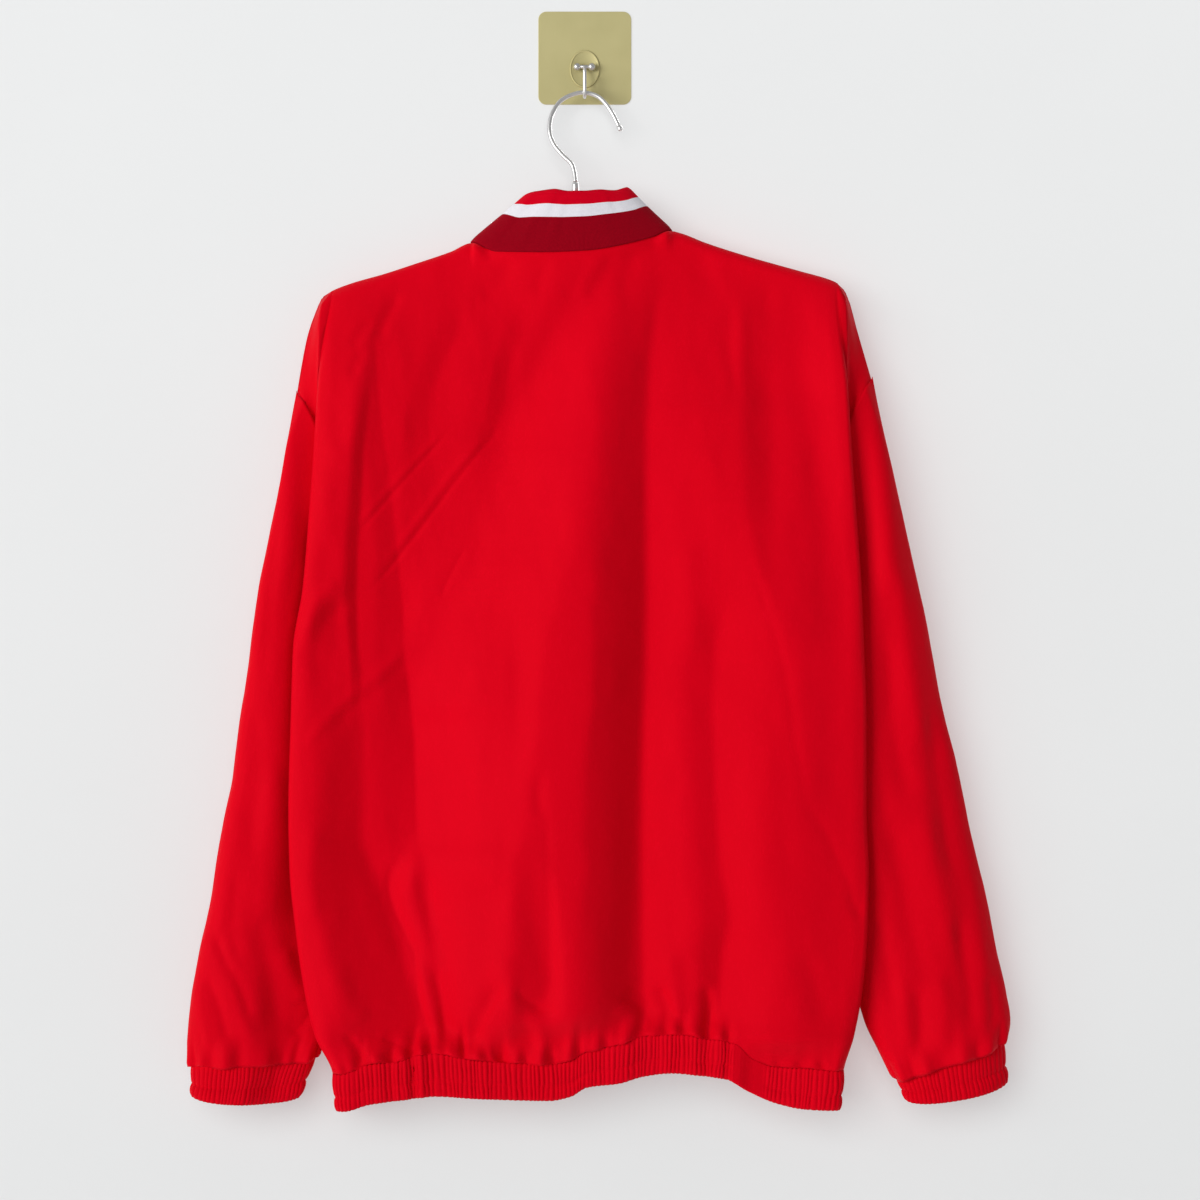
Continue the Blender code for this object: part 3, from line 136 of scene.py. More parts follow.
# ------------------------------------------------------------------- creases
# Each: points (x, z) along it, how far it stands out (a valley is negative),
# its width to the left and to the right, and its kind: g round, s sharp.
# Walls of the folds across the back, each a strip between two lines that run
# down the cloth: softness of its left and right line, then rows of
# (z, left x, right x, tilt).  A wall with a tilt above 0 faces -X.
FLANKS_BACK = [
    # left of the long fold
    (6.8, 8.5, [(-203, -232, -180, 0.10), (-241, -224, -185, 0.18), (-301, -226, -196, 0.30),
        (-335, -229, -198, 0.32), (-368, -231, -202, 0.28), (-402, -234, -204, 0.25),
        (-436, -237, -206, 0.25), (-457, -241, -209, 0.18), (-478, -242, -226, 0.12),
        (-512, -246, -236, 0.10)]),
    # long fold, dark wall
    (3.4, 2.5, [(-277, -185, -180, 0.00), (-301, -190, -182, -0.36), (-343, -196, -187, -0.48),
        (-385, -198, -189, -0.52), (-428, -202, -192, -0.56), (-470, -203, -193, -0.56),
        (-504, -199, -192, -0.48), (-538, -197, -189, -0.40), (-558, -197, -188, -0.20)]),
    # long fold, hollow
    (10.2, 2.5, [(-241, -188, -178, -0.10), (-275, -187, -176, -0.20), (-301, -183, -174, -0.12),
        (-335, -183, -170, -0.16), (-368, -181, -165, -0.18), (-402, -178, -161, -0.22),
        (-436, -176, -158, -0.26), (-470, -175, -154, -0.26), (-512, -176, -153, -0.16),
        (-546, -173, -149, -0.20)]),
    # right of it
    (2.5, 13.5, [(-241, -178, -156, 0.14), (-275, -176, -154, 0.16), (-301, -174, -153, 0.16),
        (-335, -170, -154, 0.10), (-368, -165, -154, 0.06), (-419, -159, -153, 0.05),
        (-470, -154, -136, 0.16), (-504, -153, -131, 0.10)]),
    # trough from the neck 1
    (8.5, 8.5, [(-208, -119, -104, -0.06), (-241, -126, -109, -0.18), (-267, -136, -119, -0.20),
        (-301, -149, -132, -0.17), (-343, -154, -131, -0.12), (-385, -154, -122, -0.08),
        (-419, -153, -131, -0.05)]),
    # ridge beside it
    (8.5, 10.2, [(-225, -104, -80, 0.06), (-254, -114, -87, 0.14), (-284, -129, -92, 0.10),
        (-318, -122, -97, 0.06)]),
    # trough over the pull
    (6.8, 4.2, [(-216, -65, -48, -0.05), (-241, -70, -53, -0.17), (-267, -77, -63, -0.28),
        (-301, -82, -67, -0.26), (-335, -91, -78, -0.30), (-347, -97, -85, -0.10)]),
    # trough at the collar
    (7.6, 7.6, [(-179, 8, 22, -0.26), (-203, -16, 6, -0.22), (-220, -33, -14, -0.18),
        (-246, -46, -29, -0.22), (-271, -56, -39, -0.16), (-301, -70, -56, -0.14),
        (-326, -73, -63, -0.05)]),
    # broad light middle
    (25.4, 33.9, [(-184, 13, 32, 0.00), (-216, 5, 23, 0.24), (-241, -16, 17, 0.30),
        (-267, -31, 10, 0.24), (-301, -51, 3, 0.20), (-335, -65, -2, 0.16), (-368, -66, -7, 0.14),
        (-402, -71, -11, 0.14), (-436, -88, -14, 0.15), (-470, -112, -19, 0.17),
        (-504, -126, -24, 0.18), (-531, -148, -27, 0.20)]),
    # broad light middle, low
    (2.5, 25.4, [(-531, -151, -27, 0.20), (-555, -148, -31, 0.21), (-572, -145, -36, 0.22),
        (-605, -143, -43, 0.22), (-639, -143, -49, 0.22), (-673, -141, -55, 0.23),
        (-707, -132, -58, 0.24), (-741, -126, -63, 0.24), (-775, -117, -66, 0.24),
        (-809, -114, -68, 0.26), (-848, -112, -71, 0.20)]),
    # upper left, broad
    (25.4, 33.9, [(-184, -173, -21, 0.00), (-225, -170, -38, -0.10), (-267, -163, -55, -0.14),
        (-318, -158, -71, -0.15), (-368, -154, -83, -0.12), (-436, -146, -97, -0.04)]),
    # soft vertical
    (6.8, 6.8, [(-487, -66, -58, 0.00), (-521, -67, -58, -0.12), (-572, -66, -56, -0.10),
        (-605, -65, -55, 0.00)]),
    # middle fold, hollow
    (13.5, 2.5, [(-622, -41, -32, 0.00), (-656, -49, -31, -0.12), (-690, -55, -30, -0.20),
        (-724, -60, -29, -0.26), (-758, -62, -28, -0.32), (-796, -62, -27, -0.40),
        (-817, -61, -41, -0.46), (-847, -66, -46, -0.40)]),
    # middle fold, lit wall
    (1.7, 5.1, [(-599, -30, -26, 0.00), (-627, -31, -25, 0.22), (-656, -30, -24, 0.28),
        (-707, -29, -22, 0.30), (-741, -28, -20, 0.32), (-783, -27, -17, 0.34),
        (-809, -31, -16, 0.34), (-826, -38, -17, 0.28)]),
    # great fold, dark wall
    (47.4, 8.5, [(-179, 56, 71, 0.00), (-203, 42, 67, -0.26), (-216, 37, 62, -0.38),
        (-241, 30, 58, -0.46), (-267, 25, 56, -0.52), (-301, 20, 54, -0.56),
        (-335, 15, 53, -0.60), (-368, 12, 53, -0.62), (-402, 9, 53, -0.62), (-436, 6, 53, -0.60),
        (-470, 3, 53, -0.58), (-504, 1, 52, -0.57), (-531, -0, 52, -0.56)]),
    # great fold, dark wall low
    (38.9, 6.8, [(-531, -0, 52, -0.56), (-551, -3, 51, -0.55), (-572, -5, 50, -0.55),
        (-605, -9, 49, -0.54), (-639, -9, 48, -0.54), (-673, -7, 48, -0.56),
        (-707, -6, 48, -0.58), (-741, -5, 48, -0.60), (-775, -4, 49, -0.64),
        (-809, -4, 49, -0.62), (-838, -11, 47, -0.50)]),
    # deepest of it
    (20.3, 6.8, [(-335, 35, 52, 0.00), (-419, 32, 51, -0.10), (-504, 28, 50, -0.14),
        (-572, 23, 47, -0.18), (-622, 22, 45, -0.22), (-690, 20, 44, -0.24),
        (-758, 17, 41, -0.26), (-809, 18, 39, -0.26), (-842, -4, 37, -0.12)]),
    # right of the great fold
    (6.8, 11.9, [(-241, 61, 89, 0.00), (-301, 59, 111, 0.02), (-368, 59, 98, 0.00),
        (-419, 57, 91, 0.04), (-453, 56, 89, 0.08), (-504, 54, 81, 0.12), (-555, 52, 78, 0.16),
        (-605, 51, 82, 0.18), (-656, 51, 84, 0.18), (-707, 51, 86, 0.18), (-749, 51, 89, 0.16),
        (-787, 52, 67, 0.12), (-817, 52, 60, 0.10)]),
    # second fold, dark wall
    (15.2, 2.5, [(-470, 102, 117, 0.00), (-487, 96, 116, -0.12), (-504, 89, 111, -0.18),
        (-555, 88, 108, -0.20), (-605, 91, 110, -0.26), (-656, 94, 112, -0.28),
        (-699, 97, 116, -0.32), (-728, 100, 122, -0.34), (-745, 100, 124, -0.38),
        (-766, 95, 118, -0.46), (-796, 98, 115, -0.52), (-826, 100, 112, -0.46),
        (-842, 100, 110, -0.20)]),
    # right of the second fold
    (2.5, 28.8, [(-462, 120, 142, 0.00), (-487, 117, 147, 0.18), (-512, 110, 147, 0.18),
        (-555, 108, 149, 0.14), (-605, 111, 152, 0.14), (-656, 113, 155, 0.14),
        (-699, 116, 159, 0.14), (-732, 124, 162, 0.14), (-766, 119, 164, 0.14),
        (-809, 115, 166, 0.12), (-842, 116, 166, 0.10)]),
    # light band, upper right
    (10.2, 5.1, [(-203, 89, 111, 0.00), (-225, 89, 116, -0.02), (-258, 93, 122, -0.06),
        (-301, 98, 133, -0.10), (-335, 103, 135, -0.12), (-368, 111, 138, -0.10),
        (-411, 116, 142, -0.02), (-453, 118, 147, 0.06), (-478, 118, 147, 0.04)]),
    # small light crease
    (4.2, 4.2, [(-208, 127, 133, 0.05), (-229, 126, 135, 0.20), (-254, 124, 135, 0.16),
        (-280, 127, 135, 0.10), (-301, 130, 135, 0.06)]),
    # its shade
    (5.1, 2.5, [(-216, 116, 126, -0.06), (-250, 115, 125, -0.14), (-288, 122, 128, -0.18),
        (-301, 123, 128, 0.00)]),
    # right part, upper
    (13.5, 20.3, [(-191, 133, 182, -0.10), (-233, 133, 188, -0.34), (-301, 135, 193, -0.40),
        (-351, 137, 198, -0.40), (-402, 140, 201, -0.36), (-453, 149, 205, -0.28),
        (-512, 169, 211, -0.10)]),
    # right part, falls away
    (50.8, 6.8, [(-301, 189, 227, -0.10), (-385, 189, 230, -0.34), (-453, 188, 233, -0.40),
        (-521, 182, 235, -0.42), (-589, 177, 237, -0.42), (-656, 174, 238, -0.42),
        (-724, 172, 237, -0.44), (-792, 174, 233, -0.46), (-851, 179, 225, -0.44)]),
    # low left, dark wall
    (28.8, 13.5, [(-539, -210, -198, -0.02), (-573, -217, -188, -0.36), (-605, -220, -188, -0.42),
        (-639, -222, -188, -0.46), (-673, -224, -188, -0.48), (-699, -224, -181, -0.48),
        (-724, -222, -170, -0.48), (-758, -217, -159, -0.48), (-792, -212, -149, -0.44),
        (-817, -209, -141, -0.40), (-847, -214, -136, -0.34)]),
    # low left, second wall
    (30.5, 2.1, [(-512, -163, -153, 0.00), (-546, -178, -148, -0.26), (-572, -181, -146, -0.28),
        (-605, -181, -144, -0.26), (-639, -180, -143, -0.22), (-669, -176, -142, -0.20),
        (-682, -178, -148, -0.20)]),
    # bulge at its foot
    (3.4, 8.5, [(-671, -147, -141, 0.00), (-687, -154, -143, 0.18), (-697, -160, -147, 0.24),
        (-714, -163, -148, 0.22), (-741, -158, -142, 0.18), (-766, -151, -136, 0.14),
        (-796, -144, -131, 0.16), (-821, -136, -124, 0.20), (-847, -127, -121, 0.20)]),
    # crease behind the bulge
    (3.4, 2.5, [(-695, -148, -142, -0.10), (-711, -145, -137, -0.26), (-728, -142, -133, -0.30),
        (-749, -136, -131, -0.16), (-775, -132, -126, -0.12), (-809, -126, -120, -0.26),
        (-847, -122, -117, -0.40)]),
    # lit beside it
    (2.5, 6.8, [(-699, -136, -126, 0.10), (-724, -132, -122, 0.14), (-775, -124, -117, 0.10),
        (-809, -119, -104, 0.20), (-847, -116, -97, 0.25)]),
    # body's left edge
    (4.2, 10.2, [(-436, -239, -226, 0.00), (-470, -243, -229, 0.22), (-521, -247, -232, 0.26),
        (-572, -248, -231, 0.22), (-622, -248, -229, 0.20), (-673, -249, -231, 0.18),
        (-724, -247, -229, 0.16), (-775, -239, -215, 0.20), (-809, -231, -210, 0.22),
        (-842, -222, -203, 0.15)]),
    # under the bright arc
    (5.1, 6.8, [(-457, -222, -207, 0.00), (-478, -231, -210, -0.18), (-504, -229, -210, -0.24),
        (-525, -232, -219, -0.18), (-546, -237, -224, -0.10)]),
]

FINE_BACK = [
    # pulls that run down to the left from the neck
    ([(-117, -329), (-140, -354), (-168, -386), (-190, -411)], -1.0, 1.5, 1.1, "s"),
    ([(-122, -330), (-144, -352), (-171, -382), (-192, -406)], 0.6, 3, 2.4, "g"),
    ([(-76, -328), (-84, -338), (-106, -365), (-135, -404), (-163, -440), (-180, -460)], -1.3, 1.6, 1.2, "s"),
    ([(-84, -332), (-94, -342), (-116, -368), (-142, -404), (-166, -434)], 0.8, 3.5, 2.6, "g"),
    ([(-101, -427), (-112, -446), (-122, -468)], -1.0, 3, 2, "s"),
    ([(140, -437), (162, -500), (172, -540), (180, -600), (187, -640)], -1.0, 4, 3, "s"),
    ([(186, -640), (206, -670), (232, -728)], -1.0, 5, 4, "s"),
    ([(-153, -514), (-176, -535), (-197, -551), (-214, -568), (-236, -592)], 1.7, 4.5, 4.0, "g"),
    ([(-148, -520), (-171, -542), (-193, -558), (-212, -576)], -0.9, 3, 4, "s"),
    ([(-159, -209), (-168, -228), (-176, -248)], -1.8, 6, 5, "g"),
    ([(-182, -232), (-190, -243), (-198, -255)], -1.5, 5, 4, "g"),
    ([(-188, -258), (-193, -268), (-197, -280)], -1.5, 5, 4, "g"),
    ([(-207, -456), (-221, -467), (-232, -487), (-240, -506)], 2.0, 8, 9, "g"),
    ([(-200, -470), (-214, -482), (-226, -502), (-232, -530)], -1.8, 9, 8, "g"),
    ([(-212, -330), (-216, -380), (-214, -430)], 1.8, 10, 10, "g"),
    # bulge that ends the long fold and folds in over the band
    ([(-143, -681), (-152, -688), (-164, -699), (-167, -714), (-162, -733), (-152, -754),
      (-144, -774), (-141, -805), (-137, -822), (-128, -846)], -1.6, 3, 6, "s"),
    ([(-134, -690), (-146, -704), (-150, -722), (-144, -742), (-134, -768)], 1.8, 9, 9, "g"),
    ([(-178, -700), (-182, -724), (-176, -750), (-164, -776)], 1.2, 14, 12, "g"),
    ([(-140, -774), (-134, -810), (-124, -850)], 2.2, 6, 5, "g"),
    ([(-127, -784), (-122, -812), (-118, -836)], -2.4, 5, 5, "g"),
    ([(-35, -617), (-38, -632), (-37, -650)], -2.2, 6, 5, "g"),
    ([(-44, -690), (-40, -740), (-34, -790)], -1.6, 12, 9, "g"),
    # below the collar
    ([(-30, -178), (-34, -190), (-42, -206)], -0.7, 6, 5, "g"),
    ([(2, -177), (-4, -192), (-16, -214)], -0.8, 8, 6, "g"),
    ([(24, -172), (17, -190), (4, -214)], -0.8, 7, 7, "g"),
    ([(14, -175), (6, -192), (-6, -212)], 0.6, 6, 6, "g"),
    ([(44, -166), (38, -186), (30, -212)], -0.7, 8, 6, "g"),
    # hollows and lobes over the band
    ([(-68, -794), (-82, -816), (-92, -838), (-100, -856)], -3.2, 9, 4, "g"),
    ([(-58, -800), (-48, -808), (-34, -816), (-24, -812)], -2.2, 3.5, 3, "s"),
    ([(-44, -818), (-40, -834), (-30, -852)], 3.0, 6, 9, "g"),
    ([(30, -806), (42, -812), (52, -822), (58, -836)], -2.6, 4, 6, "s"),
    ([(66, -798), (70, -810), (78, -826)], -3.0, 8, 3, "g"),
    ([(104, -798), (107, -816), (108, -832)], -3.4, 7, 3.5, "g"),
    ([(-172, -842), (-156, -848), (-146, -854)], -2.2, 4, 3, "s"),
    ([(-202, -838), (-194, -848), (-188, -862)], -2.4, 5, 3, "g"),
    ([(-62, -178), (-72, -196), (-86, -214)], -1.2, 9, 8, "g"),
    ([(96, -172), (104, -190), (116, -214)], -1.0, 10, 9, "g"),
    # right half
    ([(86, -420), (90, -470), (96, -520)], 1.6, 14, 12, "g"),
    ([(150, -260), (158, -330), (160, -410)], -1.4, 16, 14, "g"),
    ([(166, -560), (172, -640), (170, -720)], -1.6, 22, 18, "g"),
    ([(223, -719), (228, -728), (233, -738)], -1.6, 4, 4, "s"),
    ([(140, -600), (146, -680), (150, -760)], 1.8, 16, 16, "g"),
    ([(186, -770), (196, -800), (204, -826)], -1.6, 12, 10, "g"),
    ([(160, -790), (152, -820), (142, -846)], 1.2, 12, 10, "g"),
    ([(36, -800), (48, -806), (56, -818), (60, -838)], -2.4, 5, 7, "s"),
    ([(30, -812), (42, -826), (44, -842)], 2.4, 9, 7, "g"),
    ([(72, -770), (76, -800), (80, -826)], 1.6, 8, 7, "g"),
    # left half, wide
    ([(-96, -520), (-88, -620), (-84, -720)], 1.8, 20, 22, "g"),
    ([(-108, -700), (-104, -760), (-100, -820)], 1.6, 14, 16, "g"),
    ([(-70, -440), (-60, -540), (-58, -620)], -1.4, 18, 18, "g"),
    ([(-58, -820), (-64, -800), (-72, -770)], 1.8, 9, 9, "g"),
    ([(-212, -780), (-200, -806), (-188, -830)], 1.6, 9, 9, "g"),
    ([(-228, -660), (-232, -700), (-228, -740)], 1.6, 8, 8, "g"),
]
# short gathers over the band: x, height above it, lean, out, left, right
GATHER_BACK = [
    (-201, 16, -3, -1.6, 3.5, 4.5), (-189, 24, 2, -2.6, 5, 4), (-177, 14, -2, 1.6, 4, 5),
    (-164, 20, 4, -2.4, 5, 4.5), (-154, 12, 0, 1.5, 4, 4), (-146, 28, 3, -2.8, 4.5, 4.5),
    (-138, 16, -2, 1.6, 3, 4), (-131, 22, 1, -2.2, 4, 4), (-114, 18, 2, 1.3, 5, 5),
    (-102, 34, -1, -2.4, 3, 3.5), (-92, 14, 2, 1.4, 5, 5), (-82, 17, -3, -1.3, 4, 4),
    (-69, 26, 0, -3.4, 7, 6), (-58, 18, 3, 2.0, 5, 5), (-49, 15, -1, -1.6, 4, 4),
    (-38, 30, 4, 2.2, 6, 6), (-27, 24, -3, -2.0, 4, 5), (-14, 36, 3, 2.2, 5, 5),
    (-5, 30, 1, -1.8, 4, 4), (9, 22, 2, 1.4, 5, 4), (20, 16, -2, -1.4, 4, 4),
    (33, 22, 3, 1.8, 5, 5), (47, 26, 5, -2.2, 4, 4), (58, 18, 1, 1.6, 4, 5),
    (70, 24, 2, -1.8, 4, 3), (77, 13, -3, 1.3, 3, 3), (84, 26, 2, -2.4, 3.5, 4),
    (94, 14, -2, 1.4, 4, 4), (105, 40, 1, -3.0, 5, 4.5), (114, 18, 3, 1.6, 4, 4),
    (122, 24, 4, -2.4, 3.5, 3.5), (165, 8, 0, -1.2, 3, 3), (174, 7, 2, 1.0, 3, 3),
    (183, 10, -1, -1.4, 3, 3), (193, 8, 2, 1.1, 4, 3), (203, 11, -2, -1.5, 3, 4),
    (211, 7, 1, 1.0, 3, 3),
]
MAIN_FRONT = [
    ([(-120, -300), (-110, -520), (-114, -650), (-118, -780)], -7.0, 34, 20, "g"),
    ([(-60, -420), (-66, -600), (-56, -820)], 6.0, 18, 26, "g"),
    ([(130, -290), (118, -540), (126, -790)], -8.0, 22, 36, "g"),
    ([(62, -380), (70, -600), (60, -810)], 6.0, 24, 18, "g"),
]
FINE_FRONT = [
    ([(-92, -236), (-112, -276), (-140, -330), (-164, -372)], -2.0, 8, 6, "g"),
    ([(-150, -250), (-164, -300), (-170, -360)], -2.2, 9, 7, "g"),
    ([(-186, -240), (-190, -290), (-200, -350)], -1.8, 8, 8, "g"),
    ([(-178, -420), (-160, -470), (-148, -540)], -2.0, 12, 7, "g"),
    ([(-206, -500), (-184, -530), (-158, -552)], -2.2, 5, 4, "s"),
    ([(-200, -600), (-196, -680), (-182, -760)], 2.4, 16, 14, "g"),
    ([(-150, -700), (-142, -760), (-134, -820)], -2.2, 8, 9, "g"),
    ([(-86, -700), (-90, -760), (-94, -830)], -2.4, 7, 9, "g"),
    ([(-26, -320), (-30, -420), (-24, -520)], -1.6, 9, 6, "g"),
    ([(-22, -640), (-28, -720), (-20, -800)], -1.8, 8, 6, "g"),
    ([(80, -226), (96, -262), (120, -310), (150, -360)], -2.2, 7, 8, "g"),
    ([(140, -236), (156, -290), (160, -350)], -2.0, 8, 8, "g"),
    ([(182, -230), (190, -280), (198, -340)], -1.8, 8, 9, "g"),
    ([(196, -470), (172, -500), (152, -524)], -2.4, 4, 5, "s"),
    ([(168, -420), (158, -480), (160, -540)], -1.8, 10, 9, "g"),
    ([(196, -600), (190, -690), (178, -770)], 2.6, 14, 16, "g"),
    ([(156, -690), (150, -760), (142, -826)], -2.4, 9, 8, "g"),
    ([(92, -680), (96, -760), (98, -830)], -2.2, 9, 7, "g"),
    ([(22, -330), (28, -430), (20, -530)], -1.8, 7, 9, "g"),
    ([(20, -610), (26, -700), (18, -790)], -1.6, 7, 9, "g"),
    ([(-52, -250), (-58, -290), (-72, -340)], -1.6, 8, 8, "g"),
    ([(40, -250), (48, -290), (60, -330)], -1.6, 8, 8, "g"),
]
GATHER_FRONT = [
    (-200, 20, 3, -2.2, 4, 4), (-186, 14, -2, 1.6, 4, 5), (-174, 30, 2, -2.6, 5, 4),
    (-158, 18, -3, 1.8, 5, 4), (-147, 24, 1, -2.2, 4, 4), (-131, 36, -2, -2.6, 5, 5),
    (-119, 16, 2, 1.6, 4, 5), (-107, 22, -1, -2.2, 4, 4), (-92, 30, 3, -2.4, 5, 4),
    (-78, 16, -2, 1.8, 5, 5), (-64, 24, 1, -2.4, 4, 5), (-49, 34, -2, -2.6, 5, 4),
    (-36, 16, 2, 1.6, 4, 4), (-22, 22, -1, -2.0, 4, 4), (-11, 18, 0, 1.2, 4, 3),
    (15, 20, 2, -2.0, 4, 4), (27, 28, -2, -2.4, 4, 5), (41, 16, 1, 1.8, 5, 4),
    (54, 30, 2, -2.6, 5, 4), (69, 20, -1, -2.0, 4, 4), (83, 34, 2, -2.6, 5, 5),
    (97, 18, -2, 1.6, 4, 4), (110, 24, 1, -2.2, 4, 4), (126, 32, -3, -2.6, 5, 4),
    (140, 16, 2, 1.6, 5, 5), (152, 22, -1, -2.0, 4, 4), (167, 34, 2, -2.6, 4, 5),
    (181, 18, -2, 1.8, 4, 4), (194, 26, 1, -2.4, 4, 4), (206, 16, 0, -1.6, 3, 4),
]
SLEEVE_BACK_L = [
    ([(-250, -330), (-250, -400), (-258, -470)], 1.8, 9, 9, "g"),
    ([(-262, -392), (-268, -470), (-274, -540)], -1.6, 9, 7, "g"),
    ([(-282, -560), (-278, -620), (-286, -690)], -2.2, 12, 9, "g"),
    ([(-268, -610), (-262, -680), (-266, -740)], 2.2, 12, 12, "g"),
    ([(-300, -640), (-304, -700), (-310, -750)], 1.5, 9, 9, "g"),
    ([(-316, -752), (-306, -774), (-293, -800), (-284, -829)], -3.0, 5, 5, "g"),
    ([(-308, -760), (-298, -790), (-290, -816), (-286, -846)], 2.0, 7, 6, "g"),
    ([(-322, -790), (-312, -812), (-302, -846)], -2.2, 6, 5, "g"),
    ([(-258, -766), (-250, -790), (-240, -814)], 3.2, 9, 9, "g"),
    ([(-276, -740), (-268, -790), (-262, -836)], -3.2, 13, 9, "g"),
    ([(-250, -842), (-236, -826), (-226, -808)], -2.2, 5, 6, "s"),
    ([(-296, -700), (-300, -740), (-296, -780)], -1.6, 8, 7, "g"),
    ([(-240, -640), (-238, -700), (-244, -750)], -1.6, 10, 9, "g"),
    ([(-330, -800), (-326, -824), (-318, -852)], 1.6, 6, 5, "g"),
]
SLEEVE_BACK_R = [
    ([(243, -285), (251, -350), (258, -420), (262, -470)], 7.5, 12, 13, "g"),
    ([(268, -440), (276, -520), (288, -600)], 2.6, 9, 10, "g"),
    ([(256, -500), (262, -570), (276, -640)], -2.4, 10, 9, "g"),
    ([(296, -560), (304, -640), (316, -710)], -2.6, 9, 9, "g"),
    ([(288, -650), (302, -720), (314, -770)], 2.4, 10, 10, "g"),
    ([(262, -660), (276, -740), (292, -800)], -2.4, 11, 10, "g"),
    ([(330, -700), (338, -760), (346, -806)], 1.8, 8, 8, "g"),
    ([(318, -740), (326, -790), (330, -836)], -2.6, 8, 7, "g"),
    ([(300, -790), (306, -820), (304, -850)], 2.2, 8, 8, "g"),
    ([(284, -800), (286, -830), (284, -858)], -2.6, 7, 7, "g"),
    ([(344, -790), (348, -816), (346, -838)], -1.8, 5, 5, "g"),
    ([(268, -790), (272, -820), (276, -850)], 1.8, 7, 7, "g"),
    ([(246, -740), (256, -780), (266, -820)], -2.0, 8, 8, "g"),
    ([(236, -600), (244, -660), (254, -716)], 1.8, 10, 9, "g"),
]
SLEEVE_FRONT_L = [
    ([(-244, -340), (-252, -410), (-258, -480)], -2.0, 9, 9, "g"),
    ([(-226, -470), (-240, -540), (-250, -600)], -2.4, 8, 9, "g"),
    ([(-272, -500), (-280, -570), (-280, -640)], 2.2, 9, 9, "g"),
    ([(-262, -560), (-246, -600), (-226, -634)], -2.2, 5, 6, "s"),
    ([(-290, -600), (-298, -680), (-302, -740)], -2.2, 9, 8, "g"),
    ([(-252, -660), (-262, -730), (-262, -790)], -2.4, 9, 10, "g"),
    ([(-228, -690), (-238, -750), (-246, -810)], 2.0, 8, 9, "g"),
    ([(-312, -740), (-310, -790), (-308, -840)], 2.0, 8, 8, "g"),
    ([(-286, -760), (-290, -810), (-288, -850)], -2.6, 7, 8, "g"),
    ([(-268, -800), (-268, -830), (-266, -856)], 2.0, 7, 7, "g"),
]
SLEEVE_FRONT_R = [
    ([(246, -330), (252, -400), (260, -470)], -2.0, 9, 9, "g"),
    ([(224, -480), (238, -550), (250, -610)], -2.4, 9, 8, "g"),
    ([(274, -500), (288, -580), (298, -650)], 2.2, 9, 9, "g"),
    ([(290, -560), (268, -604), (240, -640)], -2.2, 6, 5, "s"),
    ([(314, -620), (326, -700), (334, -760)], -2.2, 8, 9, "g"),
    ([(266, -660), (282, -740), (296, -800)], -2.4, 10, 9, "g"),
    ([(240, -680), (256, -750), (270, -820)], 2.0, 9, 8, "g"),
    ([(334, -740), (340, -790), (342, -830)], 2.0, 8, 8, "g"),
    ([(312, -770), (316, -820), (312, -856)], -2.6, 8, 7, "g"),
    ([(292, -810), (294, -840), (292, -866)], 2.0, 7, 7, "g"),
]
# gathers over a cuff, by turn round the sleeve (0 outer, 0.25 behind)
GATHER_CUFF_L = [
    (0.03, 15, 1.4), (0.07, 22, -2.2), (0.11, 14, 1.6), (0.15, 20, -2.4), (0.19, 30, 2.2),
    (0.225, 26, -3.0), (0.27, 20, 2.6), (0.31, 16, -2.0), (0.355, 28, -2.6), (0.40, 16, 1.8),
    (0.45, 20, -2.2), (0.50, 14, 1.4), (0.55, 20, -2.0), (0.60, 24, 2.0), (0.645, 18, -2.4),
    (0.69, 28, 2.2), (0.74, 20, -2.6), (0.785, 16, 1.8), (0.83, 26, -2.4), (0.88, 18, 1.8),
    (0.93, 22, -2.0), (0.975, 14, 1.2),
]
GATHER_CUFF_R = [
    (0.02, 16, -1.8), (0.06, 20, 1.6), (0.10, 26, -2.4), (0.145, 16, 2.0), (0.185, 22, -2.6),
    (0.225, 30, 2.4), (0.265, 18, -2.2), (0.31, 26, 2.2), (0.35, 18, -2.6), (0.395, 24, 1.8),
    (0.44, 16, -2.0), (0.49, 20, 1.4), (0.54, 24, -2.2), (0.59, 16, 1.8), (0.635, 26, -2.4),
    (0.68, 18, 2.0), (0.725, 24, -2.6), (0.77, 16, 1.6), (0.82, 28, -2.2), (0.87, 18, 2.0),
    (0.915, 20, -2.0), (0.96, 14, 1.4),
]


# ------------------------------------------------------------ small helpers
def col(table, i):
    return np.array([row[i] for row in table], float)


def mix(a, b, t):
    return a + (b - a) * t


def step(t):
    t = np.clip(t, 0.0, 1.0)
    return t * t * (3 - 2 * t)


def follow(x, xs, ys):
    """Smooth curve through a table's rows (cubic, no overshoot)."""
    xs, ys = np.asarray(xs, float), np.asarray(ys, float)
    if xs[0] > xs[-1]:
        xs, ys = xs[::-1], ys[::-1]
    x = np.clip(np.asarray(x, float), xs[0], xs[-1])
    h = np.diff(xs)
    m = np.diff(ys) / h
    s = np.zeros_like(ys)
    both = m[:-1] * m[1:]
    s[1:-1] = np.where(both > 0, 2 * both / np.where(both > 0, m[:-1] + m[1:], 1.0), 0.0)
    i = np.clip(np.searchsorted(xs, x, side="right") - 1, 0, len(xs) - 2)
    t = (x - xs[i]) / h[i]
    m0, m1 = s[i] * h[i], s[i + 1] * h[i]
    return ((2 * t**3 - 3 * t**2 + 1) * ys[i] + (t**3 - 2 * t**2 + t) * m0
            + (3 * t**2 - 2 * t**3) * ys[i + 1] + (t**3 - t**2) * m1)


def bezier(p0, p1, p2, p3, t):
    s = 1 - t
    return s**3 * p0 + 3 * s * s * t * p1 + 3 * s * t * t * p2 + t**3 * p3


